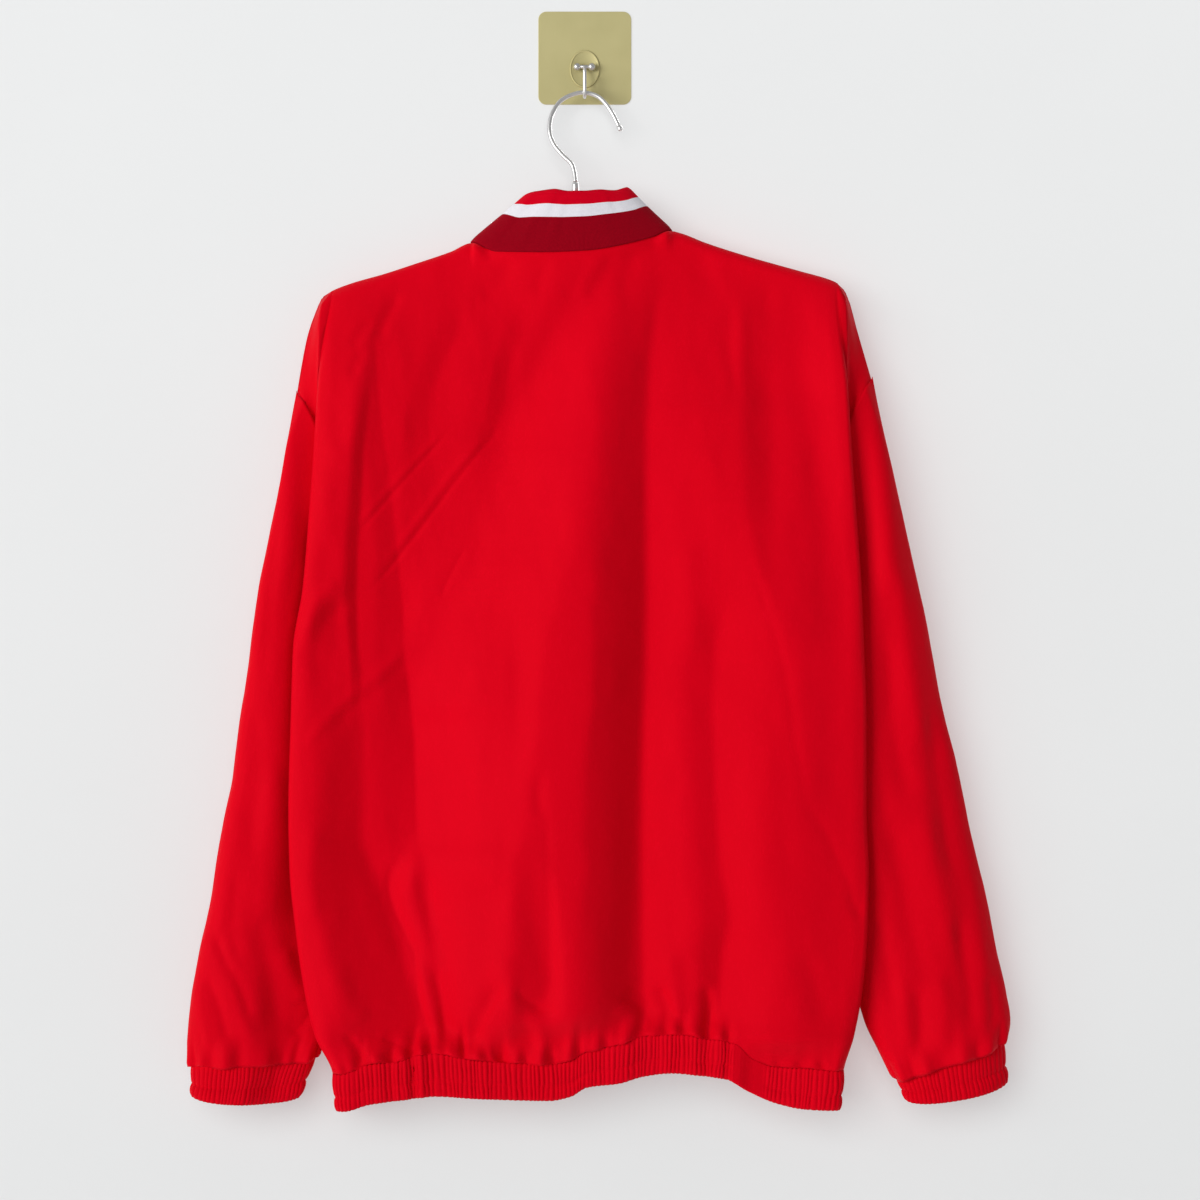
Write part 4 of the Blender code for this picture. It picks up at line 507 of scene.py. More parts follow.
def unit(v):
    n = np.linalg.norm(v, axis=-1, keepdims=True)
    return v / np.where(n > 1e-12, n, 1.0)


def lattice(ix, iz, seed):
    n = (ix.astype(np.int64) * 374761393 + iz.astype(np.int64) * 668265263 + seed * 974634777) & 0xFFFFFFFF
    n = ((n ^ (n >> 13)) * 1274126177) & 0xFFFFFFFF
    return ((n ^ (n >> 16)) & 0xFFFF) / 32767.5 - 1.0


def noise(x, z, cell_x, cell_z, seed):
    """Smooth value noise from -1 to 1."""
    x, z = np.broadcast_arrays(np.asarray(x, float) / cell_x, np.asarray(z, float) / cell_z)
    ix, iz = np.floor(x), np.floor(z)
    fx, fz = step(x - ix), step(z - iz)
    a = mix(lattice(ix, iz, seed), lattice(ix + 1, iz, seed), fx)
    b = mix(lattice(ix, iz + 1, seed), lattice(ix + 1, iz + 1, seed), fx)
    return mix(a, b, fz)


def smooth_path(points, each):
    """Catmull-Rom curve through a few points."""
    pts = [np.asarray(p, float) for p in points]
    pts = [2 * pts[0] - pts[1]] + pts + [2 * pts[-1] - pts[-2]]
    out = []
    for i in range(1, len(pts) - 2):
        a, b, c, d = pts[i - 1:i + 3]
        for k in range(each):
            t = k / each
            out.append(0.5 * ((2 * b) + (c - a) * t + (2 * a - 5 * b + 4 * c - d) * t * t
                              + (3 * b - a - 3 * c + d) * t**3))
    out.append(pts[-2])
    return np.array(out)


def creases(X, Z, lines, ends=0.22):
    """How far the creases move the cloth out at X, Z (mm)."""
    total = np.zeros(X.shape)
    for pts, out, left, right, kind in lines:
        path = smooth_path(pts, 6)
        reach = 3.2 * max(left, right) if kind == "g" else 5.0 * max(left, right)
        near = ((X > path[:, 0].min() - reach) & (X < path[:, 0].max() + reach)
                & (Z > path[:, 1].min() - reach) & (Z < path[:, 1].max() + reach))
        if not near.any():
            continue
        px, pz = X[near], Z[near]
        seg = np.diff(path, axis=0)
        lens = np.linalg.norm(seg, axis=1)
        cum = np.concatenate([[0], np.cumsum(lens)])
        best = np.full(px.shape, 1e9)
        side = np.zeros(px.shape)
        along = np.zeros(px.shape)
        for a, d, n, c in zip(path[:-1], seg, lens, cum[:-1]):
            t = np.clip(((px - a[0]) * d[0] + (pz - a[1]) * d[1]) / (n * n), 0, 1)
            qx, qz = px - a[0] - t * d[0], pz - a[1] - t * d[1]
            dist = np.hypot(qx, qz)
            hit = dist < best
            best = np.where(hit, dist, best)
            side = np.where(hit, d[0] * qz - d[1] * qx, side)
            along = np.where(hit, c + t * n, along)
        w = np.where(side < 0, left, right)
        t = along / cum[-1]
        fade = step((t + 0.06) / ends) * step((1.06 - t) / ends)
        shape = np.exp(-(best / w) ** 2) if kind == "g" else np.exp(-np.sqrt((best / w) ** 2 + 0.04) + 0.2)
        total[near] += out * fade * shape
    return total


def gathers(X, H, table):
    """Short creases that rise from a drawn-in seam; H is the height above it."""
    total = np.zeros(X.shape)
    for x, high, lean, out, left, right in table:
        mid = x + lean * H / high
        # a hollow has a long wall on its left and a short one on its right
        w = np.where(X < mid, left * (1.3 if out < 0 else 0.7), right * (0.62 if out < 0 else 1.2))
        total += out * np.exp(-((X - mid) / w) ** 2) * np.exp(-(np.maximum(H, 0) / (0.62 * high)) ** 2)
    return total


# ----------------------------------------------------------------- sections
def edge(z, side):
    return follow(z, col(EDGE, 0), col(EDGE, 1 if side < 0 else 2))


def front_edge(z, side):
    return follow(z, col(EDGE, 0), col(EDGE, 3))


def zip_x(z):
    return follow(z, (-905, -235, -150), (4.0, -9.0, -9.0))


def hem_z(x, i=1):
    return follow(x, col(HEM, 0), col(HEM, i))


def top_point(x, side):
    table = SHOULDER_L if side < 0 else SHOULDER_R
    return follow(x, col(table, 0), col(table, 1))


def eased(x, top, d):
    """d below a top edge whose corners are rounded off, x by x."""
    at = np.arange(-225.0, 226.0)
    line = np.interp(at, x, top)
    k = np.hanning(47)
    k /= k.sum()
    line = np.convolve(np.pad(line, 23, mode="edge"), k, mode="valid")
    return np.maximum(0.0, d + np.interp(x, at, line) - top) * (1 - np.exp(-d / 5.0))


def face_y(x, z, d, top_y, over, behind, limit, slow=None):
    """y of a panel's outer face, d below its top edge, without its creases."""
    slow = d if slow is None else slow
    sign = -1 if behind else 1
    deep = follow(z, col(DEPTH, 0), col(DEPTH, 1 if behind else 2))
    q = np.sqrt(np.maximum(0.0, 1 - (1 - np.minimum(d / OVER_ARM, 1)) ** 2))
    start = top_y + sign * OVER_ARM * over
    y = top_y + sign * OVER_ARM * over * q
    fall = mix(100.0, 48.0, step((np.abs(x) - 140.0) / 60.0))
    y = y + (deep - start) * (1 - np.exp(-slow / fall))
    # away from the seam the curve of the neck dies out
    even = SEAM_Y + sign * OVER_ARM
    if behind:
        even = even - 11.0 * np.exp(-((x - NECK_CX) / 60.0) ** 2)
    w = 1 - np.exp(-(slow / 10.0) ** 2)
    y = y + (even - start) * w * np.exp(-slow / fall)
    crown = 1 - 0.07 * (x / limit) ** 2
    y = SEAM_Y + (y - SEAM_Y) * crown
    r = np.clip((np.abs(x) - limit + ROLL) / ROLL, 0, 1)
    return y - sign * (ROLL_BACK if behind else ROLL_FRONT) * (1 - np.sqrt(1 - r * r)) * (1 - np.exp(-d / 30.0))


def shoulder_strip(side, f):
    table = SHOULDER_L if side < 0 else SHOULDER_R
    pts = np.array([p for p in table if abs(p[0]) >= TIP_EDGE], float)
    lens = np.concatenate([[0], np.cumsum(np.hypot(*np.diff(pts, axis=0).T))])
    s = f * lens[-1]
    return (follow(s, lens, np.abs(pts[:, 0])) * side,
            mix(SEAM_Y, ARMHOLE[0][2], step(f)), follow(s, lens, pts[:, 1]))


def arm_top(side):
    return -291.0 if side < 0 else -279.0


def armhole_z(side, j):
    top = arm_top(side)
    return top - np.interp(j, range(9), col(ARMHOLE, 0)) * (510.0 + top) / 219.0


def boundary(side, z, behind):
    """Side boundary at height z: armhole above, side seam below."""
    zs = armhole_z(side, np.arange(9))
    hole_x = follow(z, zs, col(ARMHOLE, 1))
    hole_y = follow(z, zs, col(ARMHOLE, 2 if behind else 3))
    seam_x = follow(z, col(SIDE, 0), col(SIDE, 1 if side < 0 else 2))
    low = z < zs[-1]
    return np.where(low, seam_x, hole_x) * side, np.where(low, SIDE_Y, hole_y)


def armhole(side, j, behind):
    z = armhole_z(side, j)
    zs = armhole_z(side, np.arange(9))
    x = follow(z, zs, col(ARMHOLE, 1)) * side
    y = follow(z, zs, col(ARMHOLE, 2 if behind else 3))
    return np.stack([x, y, z], -1)


def front_neck(x_top, side):
    """Points of the front neck seam over the share of the neck at x_top."""
    u = np.clip((x_top - NECK_CX) / NECK_HALF, -1.0, 1.0)
    a = np.arccos(np.abs(u))
    zn = -163.5 if side < 0 else -153.2
    x = NECK_CX + NECK_HALF * u
    at_zip = np.abs(x - zip_x(-235)) < ZIP_HALF + 0.5
    x = np.where(at_zip, zip_x(-235) + side * ZIP_HALF, x)
    a = np.where(at_zip, math.pi / 2, a)
    z = mix(zn, -163.5 - NECK_DROP, np.sin(a) ** 1.3)
    d = np.minimum(1.0, (zn - z) / 11.0)
    return x, SEAM_Y + NECK_FRONT * np.sqrt(1 - (1 - d) ** 2), z


def band_puff(x, h, behind):
    """The cloth swells over the drawn-in band, unevenly."""
    a = 2.6 + 1.6 * noise(x, 0.0, 19.0, 1.0, 3 if behind else 4) + 1.1 * noise(x, 0.0, 7.5, 1.0, 5 if behind else 6)
    ripple = 0.55 * noise(x, h, 4.2, 30.0, 9 if behind else 10) * np.exp(-h / 9.0)
    return a * (1 - np.exp(-h / 2.2)) * np.exp(-h / 17.0) + ripple


def overhang(x, h, behind):
    """How far the swelling hangs down over the band's seam."""
    a = 1.3 + 1.2 * noise(x, 0.0, 6.5, 1.0, 13 if behind else 14) + 0.9 * noise(x, 0.0, 17.0, 1.0, 15 if behind else 16)
    return 1.7 * np.maximum(0.0, a) * (1 - np.exp(-h / 0.9)) * np.exp(-h / 7.0)


def flat_window(x):
    """1 on the smooth stretch of the back's hem, where nothing is gathered."""
    return step((x - 122.0) / 7.0) * step((160.0 - x) / 9.0)


TILT = 1.06            # every wall's tilt as worn, against the table


def wall_relief(table, lim):
    """Height map of the folds whose walls are listed, on a fine lattice."""
    zs = np.arange(-912.0, -150.0, 2.0)
    xs = np.arange(-262.0, 262.5, 1.0)
    tilt = np.zeros((len(zs), len(xs)))
    for soft_l, soft_r, rows in table:
        r = np.array(sorted(rows), float)
        inside = step((zs - r[0, 0] + 11) / 22.0) * step((r[-1, 0] + 11 - zs) / 22.0)
        xl = np.interp(zs, r[:, 0], r[:, 1])[:, None]
        xr = np.interp(zs, r[:, 0], r[:, 2])[:, None]
        t = np.interp(zs, r[:, 0], r[:, 3])[:, None] * inside[:, None]
        tilt += t * step((xs[None] - xl) / soft_l + 0.5) * step((xr - xs[None]) / soft_r + 0.5)
    k = np.hanning(17)
    k /= k.sum()
    tilt = np.apply_along_axis(lambda c: np.convolve(np.pad(c, 8, mode="edge"), k, mode="valid"), 0, tilt) * TILT
    left, right = -lim(zs, -1)[:, None], lim(zs, 1)[:, None]
    tilt *= (xs[None] > left) * (xs[None] < right)
    out = np.cumsum(tilt, axis=1)
    share = np.clip((xs[None] - left) / (right - left), 0, 1)
    drift = out[:, -1:]
    k = np.hanning(41)
    k /= k.sum()
    even = np.convolve(np.pad(drift[:, 0], 20, mode="edge"), k, mode="valid")[:, None]
    out = out - even * share - (drift - even) * step(share)
    mean = (out * (share > 0) * (share < 1)).sum(axis=1) / (right - left)[:, 0]
    mean = np.convolve(np.pad(mean, 20, mode="edge"), k, mode="valid")[:, None]
    return zs, xs, out, mean


def lookup(relief, X, Z, limit):
    """Bilinear reading of a height map, with its mean taken off."""
    zs, xs, out, mean = relief
    i = np.clip((Z - zs[0]) / (zs[1] - zs[0]), 0, len(zs) - 1.001)
    k = np.clip((X - xs[0]) / (xs[1] - xs[0]), 0, len(xs) - 1.001)
    i0, k0 = i.astype(int), k.astype(int)
    fi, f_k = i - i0, k - k0
    v = mix(mix(out[i0, k0], out[i0, k0 + 1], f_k), mix(out[i0 + 1, k0], out[i0 + 1, k0 + 1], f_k), fi)
    m = mix(mean[i0, 0], mean[i0 + 1, 0], fi)
    # the whole panel hangs a little flatter than its plain form
    return v - (m + SLACK) * (1 - (np.abs(X) / limit) ** 6)


SLACK = 5.5
BACK_RELIEF = wall_relief(FLANKS_BACK, edge)


def body_relief(X, Z, D, limit, behind):
    """All creases of a panel, out from its plain face."""
    near = (1 - np.exp(-D / 7.0)) * step((limit - np.abs(X)) / 7.0)
    h = Z - hem_z(X)
    low = step(h / 26.0)
    if behind:
        out = lookup(BACK_RELIEF, X, Z, limit) * (1 - np.exp(-D / 34.0)) * mix(0.72, 1.0, low)
    else:
        calm = (1 - np.exp(-D / 60.0)) * step((limit - np.abs(X)) / 22.0) * step((Z + 880) / 60.0)
        out = 1.6 * creases(X, Z, MAIN_FRONT) * calm
    out += creases(X, Z, FINE_BACK if behind else FINE_FRONT) * near * mix(0.55, 1.0, low)
    drawn = 1 - flat_window(X) if behind else 1.0
    out += (2.8 * gathers(X, h, GATHER_BACK if behind else GATHER_FRONT) * (1 - np.exp(-np.maximum(h, 0) / 2.0))
            + band_puff(X, np.maximum(h, 0), behind)) * drawn * step((limit - np.abs(X)) / 9.0)
    seed = 20 if behind else 40
    out += near * (0.75 * noise(X, Z, 34.0, 70.0, seed) + 0.36 * noise(X, Z, 13.0, 27.0, seed + 1)
                   + 0.11 * noise(X, Z, 5.5, 10.0, seed + 2))
    return out


def body_surface(behind, shares, rows, strip, half=None):
    """Outer face of a panel: rows down, columns from -X to +X, with a strip
    round each outer fold to the armhole and side seam."""
    lim = edge if behind else front_edge
    sgn = -1 if behind else 1
    sides = (-1, 1) if half is None else (half,)
    parts = {}
    s0 = TOP_ROWS[-1] / 700.0
    for side in sides:
        U, F = np.meshgrid(rows, strip, indexing="ij")
        share = U / 700.0
        tx, ty, tz = shoulder_strip(side, F)
        zb = hem_z(follow(-873, col(SIDE, 0), col(SIDE, 1 if side < 0 else 2)) * side)
        z_arm = armhole_z(side, np.interp(U, TOP_ROWS, range(9)))
        under = armhole_z(side, 8.0)
        zu = np.where(U <= TOP_ROWS[-1], z_arm, mix(under, zb, np.clip((share - s0) / (1 - s0), 0, 1)))
        z = mix(mix(tz, zb, share), zu, F)
        z0 = arm_top(side)
        zz = np.minimum(z, z0)
        xe = lim(zz, side)
        ye = face_y(xe, zz, np.maximum(0.0, top_point(TIP_EDGE * side, side) - zz), SEAM_Y, 1.0, behind, xe)
        bx, by = boundary(side, zz, behind)
        x = bezier(xe * side, xe * side, bx, bx, F)
        # a gutter runs beside the fold where the arm hangs
        y = bezier(ye, ye - sgn * (19.0 if behind else 2.5), by + sgn * 3.0 if behind else ye - sgn * 3.5, by, F)
        t = np.clip((tz - z) / np.maximum(tz - z0, 1e-6), 0, 1)
        above = (z > z0) & (F < 1)
        x = np.where(above, mix(tx, x, t), x)
        y = np.where(above, mix(ty, y, np.sqrt(1 - (1 - t) ** (5 if behind else 2))), y)
        p = np.stack([x, y, z], -1)
        p[0] = np.stack([tx, ty, tz], -1)[0]
        # the cloth round the arm's top is even, whatever the seams do
        fade = step((95.0 - np.arange(len(rows))) / 50.0)[1:-1, None, None]
        fade = fade * step(np.arange(len(strip)) / 5.0)[None, 1:-1, None]
        for _ in range(36 if behind else 20):
            mid = (p[:-2, 1:-1] + p[2:, 1:-1] + p[1:-1, :-2] + p[1:-1, 2:]) / 4
            p[1:-1, 1:-1] += 0.6 * fade * (mid - p[1:-1, 1:-1])
        parts[side] = p[:, ::-1] if side < 0 else p
    U, S = np.meshgrid(rows, shares, indexing="ij")
    share = U / 700.0
    side = np.where(S < 0, -1, 1)
    x_top = S * TIP_EDGE
    neck = (S >= NECK_L - 1e-9) & (S <= NECK_R + 1e-9)
    u = (x_top - NECK_CX) / NECK_HALF
    zt = np.where(S < 0, top_point(x_top, -1), top_point(x_top, 1))
    yt = np.full(S.shape, SEAM_Y)
    if behind:
        zt = np.where(neck, follow(x_top, col(NECK_SEAM, 0), col(NECK_SEAM, 1)), zt)
        yt = np.where(neck, SEAM_Y - NECK_BACK * np.sqrt(np.maximum(0.0, 1 - np.minimum(1.0, u * u))), yt)
    else:
        fx, fy, fz = front_neck(x_top, half)
        zt, yt, x_top = np.where(neck, fz, zt), np.where(neck, fy, yt), np.where(neck, fx, x_top)
    over = np.where(neck, step((np.abs(u) - 0.8) / 0.2), 1.0)
    at_hem = np.where(S < 0, lim(-870.0, -1), lim(-870.0, 1))
    z = mix(zt, hem_z(S * at_hem), share)
    limit = np.where(S < 0, lim(z, -1), lim(z, 1))
    x = S * limit
    if not behind:
        x = np.where(neck, mix(x_top, x, np.minimum(1.0, (zt - z) / 60.0)), x)
        k = -1 if half < 0 else 0
        want = zip_x(z[:, k]) + half * ZIP_HALF
        pull = (want - x[:, k])[:, None] * step(1 - np.abs(S - S[0, k]) * TIP_EDGE / 46.0)
        x = x + pull
    d = zt - z
    slow = eased(x_top[0], zt[0], d) if behind else d
    y = face_y(x, z, d, yt, over, behind, limit, slow)
    y[0] = yt[0]
    y = y + sgn * body_relief(x, z, slow, limit, behind)
    if not behind:      # calm beside the zip
        k = -1 if half < 0 else 0
        plain = face_y(x, z, d, yt, over, behind, limit)
        keep = step((np.abs(x - zip_x(z)) - ZIP_HALF) / 16.0)
        y = mix(plain, y, keep)
    else:               # the fullest folds flatten out
        y = np.where(y < -94.5, -94.5 + (y + 94.5) / (1 + (-94.5 - y) / 3.0), y)
    h = np.maximum(0.0, z - hem_z(x))
    z = z - overhang(x, h, behind) * (1 - flat_window(x) if behind else 1.0) * step((limit - np.abs(x)) / 9.0)
    flat = np.stack([x, y, z], -1)
    if half is None:
        return np.concatenate([parts[-1], flat, parts[1]], axis=1)
    if half < 0:
        return np.concatenate([parts[-1], flat], axis=1)
    return np.concatenate([flat, parts[1]], axis=1)


def grid_normals(g, wrap=False):
    up = np.concatenate([g[:1], g[:-1]])
    dn = np.concatenate([g[1:], g[-1:]])
    if wrap:
        lf, rt = np.roll(g, 1, axis=1), np.roll(g, -1, axis=1)
    else:
        lf = np.concatenate([g[:, :1], g[:, :-1]], axis=1)
        rt = np.concatenate([g[:, 1:], g[:, -1:]], axis=1)
    return unit(np.cross(rt - lf, dn - up))


def ditch(g, depth, reach, edges, wrap=False, want=None):
    """Turn a panel's sewn edges in a little, so that the seam shows as a line."""
    n = grid_normals(g, wrap)
    if want is not None and (n[g.shape[0] // 2, g.shape[1] // 2] * np.array(want)).sum() < 0:
        n = -n
    fall = np.zeros(g.shape[:2])
    rows = np.concatenate([np.zeros((1, g.shape[1])),
                           np.cumsum(np.linalg.norm(np.diff(g, axis=0), axis=-1), axis=0)])
    cols = np.concatenate([np.zeros((g.shape[0], 1)),
                           np.cumsum(np.linalg.norm(np.diff(g, axis=1), axis=-1), axis=1)], axis=1)
    if "top" in edges:
        fall = np.maximum(fall, np.exp(-(rows / reach) ** 2))
    if "bottom" in edges:
        fall = np.maximum(fall, np.exp(-((rows[-1:] - rows) / reach) ** 2))
    if "left" in edges:
        fall = np.maximum(fall, np.exp(-(cols / reach) ** 2))
    if "right" in edges:
        fall = np.maximum(fall, np.exp(-((cols[:, -1:] - cols) / reach) ** 2))
    return g - n * depth * fall[..., None]


# ------------------------------------------------------------------ meshes
def link(ob):
    bpy.context.scene.collection.objects.link(ob)
    return ob


def mesh_piece(name, verts, faces, mats, material_index=None, smooth=True, uv=None):
    me = bpy.data.meshes.new(name)
    me.from_pydata([tuple(v) for v in np.asarray(verts, float) * MM], [], faces)
    for m in mats if isinstance(mats, (list, tuple)) else [mats]:
        me.materials.append(m)
    if material_index is not None:
        me.polygons.foreach_set("material_index", np.asarray(material_index, np.int32))
    if uv is not None:
        layer = me.uv_layers.new(name="UVMap")
        loops = np.empty(len(me.loops), np.int32)
        me.loops.foreach_get("vertex_index", loops)
        layer.data.foreach_set("uv", np.asarray(uv, np.float32)[loops].ravel())
    if smooth:
        me.polygons.foreach_set("use_smooth", np.ones(len(me.polygons), bool))
    me.update()
    return link(bpy.data.objects.new(name, me))


def grid_faces(rows, cols, wrap=False, flip=False):
    i = np.arange(rows - 1)[:, None] * cols
    k = np.arange(cols if wrap else cols - 1)[None, :]
    a, b = i + k, i + (k + 1) % cols
    f = np.stack([a, a + cols, b + cols, b], -1).reshape(-1, 4)
    return (f[:, ::-1] if flip else f).tolist()


def cloth_piece(name, grid, mats, thick, flip=False, wrap=False, material_index=None, uv=None):
    r, c, _ = grid.shape
    ob = mesh_piece(name, grid.reshape(-1, 3), grid_faces(r, c, wrap, flip), mats, material_index, uv=uv)
    mod = ob.modifiers.new("thickness", "SOLIDIFY")
    mod.thickness = thick * MM
    mod.offset = -1.0
    mod.use_rim = True
    return ob


def put(ob, slot, *nodes, body=BODY):
    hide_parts(*nodes)
    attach(ob, body)
    return ob


# --------------------------------------------------------------- materials
def new_material(name, colour, rough, metal=0.0, spec=0.5, tint=None):
    mat = bpy.data.materials.new(name)
    mat.use_nodes = True
    nt = mat.node_tree
    bsdf = nt.nodes["Principled BSDF"]
    bsdf.inputs["Base Color"].default_value = (*colour, 1)
    bsdf.inputs["Roughness"].default_value = rough
    bsdf.inputs["Metallic"].default_value = metal
    bsdf.inputs["Specular IOR Level"].default_value = spec
    if tint:
        bsdf.inputs["Specular Tint"].default_value = (*tint, 1)
    return mat, nt, bsdf


def node(nt, kind, **values):
    n = nt.nodes.new(kind)
    for k, v in values.items():
        if k in n.inputs:
            n.inputs[k].default_value = v
        else:
            setattr(n, k, v)
    return n


def colour_mix(nt, fac, a, b):
    n = nt.nodes.new("ShaderNodeMix")
    n.data_type = "RGBA"
    nt.links.new(fac, n.inputs[0])
    for socket, value in ((n.inputs[6], a), (n.inputs[7], b)):
        if hasattr(value, "is_linked") or hasattr(value, "links"):
            nt.links.new(value, socket)
        else:
            socket.default_value = (*value, 1)
    return n.outputs[2]


def ramp(nt, source, lo, hi):
    n = node(nt, "ShaderNodeMapRange")
    n.inputs["From Min"].default_value = lo
    n.inputs["From Max"].default_value = hi
    nt.links.new(source, n.inputs["Value"])
    return n.outputs["Result"]


def woven(name, base, deep, pale, rough=0.58, sheen=0.10, sheen_tint=(1.0, 0.03, 0.07)):
    """Thin microfibre: fine plain weave, soft mottling, slight puckers."""
    mat, nt, bsdf = new_material(name, base, rough, 0.0, 0.10, (1.0, 0.12, 0.16))
    bsdf.inputs["Sheen Weight"].default_value = sheen
    bsdf.inputs["Sheen Roughness"].default_value = 0.45
    bsdf.inputs["Sheen Tint"].default_value = (*sheen_tint, 1)
    tc = node(nt, "ShaderNodeTexCoord")
    big = node(nt, "ShaderNodeTexNoise", Scale=9.0, Detail=2.0, Roughness=0.5)
    fine = node(nt, "ShaderNodeTexNoise", Scale=620.0, Detail=3.0, Roughness=0.6)
    stretch = node(nt, "ShaderNodeMapping")
    stretch.inputs["Scale"].default_value = (1.0, 1.0, 0.35)
    nt.links.new(tc.outputs["Object"], stretch.inputs["Vector"])
    for n in (big, fine):
        nt.links.new(stretch.outputs["Vector"], n.inputs["Vector"])
    c1 = colour_mix(nt, ramp(nt, big.outputs["Fac"], 0.35, 0.65), base, deep)
    c2 = colour_mix(nt, ramp(nt, fine.outputs["Fac"], 0.52, 0.85), c1, pale)
    nt.links.new(c2, bsdf.inputs["Base Color"])
    rr = node(nt, "ShaderNodeMapRange")
    rr.inputs["To Min"].default_value = rough - 0.06
    rr.inputs["To Max"].default_value = rough + 0.08
    nt.links.new(fine.outputs["Fac"], rr.inputs["Value"])
    nt.links.new(rr.outputs["Result"], bsdf.inputs["Roughness"])
    # plain weave, warp down and weft across, 0.35 mm apart
    warp = node(nt, "ShaderNodeTexWave", wave_type="BANDS", bands_direction="X", wave_profile="SIN", Scale=900.0, Distortion=0.6)
    weft = node(nt, "ShaderNodeTexWave", wave_type="BANDS", bands_direction="Z", wave_profile="SIN", Scale=900.0, Distortion=0.6)
    pucker = node(nt, "ShaderNodeTexNoise", Scale=110.0, Detail=2.0, Roughness=0.55)
    nt.links.new(tc.outputs["Object"], warp.inputs["Vector"])
    nt.links.new(tc.outputs["Object"], weft.inputs["Vector"])
    nt.links.new(stretch.outputs["Vector"], pucker.inputs["Vector"])
    cross = node(nt, "ShaderNodeMath", operation="MULTIPLY")
    nt.links.new(warp.outputs["Fac"], cross.inputs[0])
    nt.links.new(weft.outputs["Fac"], cross.inputs[1])
    b1 = node(nt, "ShaderNodeBump", Strength=0.35, Distance=0.00005)
    b2 = node(nt, "ShaderNodeBump", Strength=0.6, Distance=0.00022)
    nt.links.new(cross.outputs[0], b1.inputs["Height"])
    nt.links.new(pucker.outputs["Fac"], b2.inputs["Height"])
    nt.links.new(b1.outputs["Normal"], b2.inputs["Normal"])
    nt.links.new(b2.outputs["Normal"], bsdf.inputs["Normal"])
    return mat


def knit(name, base, deep, tint):
    """Fine rib knit, with painted shade in the grooves of its ribs; u of the map runs along the collar in millimetres.
    """
    mat, nt, bsdf = new_material(name, base, 0.85, 0.0, 0.16, tint)
    bsdf.inputs["Sheen Weight"].default_value = 0.18
    bsdf.inputs["Sheen Roughness"].default_value = 0.5
    bsdf.inputs["Sheen Tint"].default_value = (*tint, 1)
    uv = node(nt, "ShaderNodeUVMap", uv_map="UVMap")
    rib = node(nt, "ShaderNodeTexWave", wave_type="BANDS", bands_direction="X", wave_profile="SIN", Scale=0.27)
    loops = node(nt, "ShaderNodeTexWave", wave_type="BANDS", bands_direction="Y", wave_profile="SIN", Scale=0.42, Distortion=0.8)
    nz = node(nt, "ShaderNodeTexNoise", Scale=0.5, Detail=3.0)
    for n in (rib, loops, nz):
        nt.links.new(uv.outputs["UV"], n.inputs["Vector"])
    # painted shade: the rib's grooves, where the same wave sinks the bump, take the darker deep colour; the noise on
    # the next line adds uneven tone
    c1 = colour_mix(nt, ramp(nt, rib.outputs["Fac"], 0.15, 0.75), deep, base)
    c2 = colour_mix(nt, ramp(nt, nz.outputs["Fac"], 0.62, 0.3), c1, deep)
    nt.links.new(c2, bsdf.inputs["Base Color"])
    b1 = node(nt, "ShaderNodeBump", Strength=0.55, Distance=0.0003)
    b2 = node(nt, "ShaderNodeBump", Strength=0.35, Distance=0.00012)
    nt.links.new(rib.outputs["Fac"], b1.inputs["Height"])
    nt.links.new(loops.outputs["Fac"], b2.inputs["Height"])
    nt.links.new(b1.outputs["Normal"], b2.inputs["Normal"])
    nt.links.new(b2.outputs["Normal"], bsdf.inputs["Normal"])
    return mat


def metal(name, base, dark, rough, brushed=(1.0, 1.0, 1.0), scale=260.0, bare=1.0):
    mat, nt, bsdf = new_material(name, base, rough, bare)
    tc = node(nt, "ShaderNodeTexCoord")
    mp = node(nt, "ShaderNodeMapping")
    mp.inputs["Scale"].default_value = brushed
    nz = node(nt, "ShaderNodeTexNoise", Scale=scale, Detail=4.0, Roughness=0.6)
    big = node(nt, "ShaderNodeTexNoise", Scale=24.0, Detail=2.0)
    nt.links.new(tc.outputs["Object"], mp.inputs["Vector"])
    nt.links.new(mp.outputs["Vector"], nz.inputs["Vector"])
    nt.links.new(tc.outputs["Object"], big.inputs["Vector"])
    c = colour_mix(nt, ramp(nt, big.outputs["Fac"], 0.4, 0.7), base, dark)
    nt.links.new(c, bsdf.inputs["Base Color"])
    rr = node(nt, "ShaderNodeMapRange")
    rr.inputs["To Min"].default_value = max(0.05, rough - 0.08)
    rr.inputs["To Max"].default_value = rough + 0.12
    nt.links.new(nz.outputs["Fac"], rr.inputs["Value"])
    nt.links.new(rr.outputs["Result"], bsdf.inputs["Roughness"])
    b = node(nt, "ShaderNodeBump", Strength=0.12, Distance=0.00004)
    nt.links.new(nz.outputs["Fac"], b.inputs["Height"])
    nt.links.new(b.outputs["Normal"], bsdf.inputs["Normal"])
    return mat


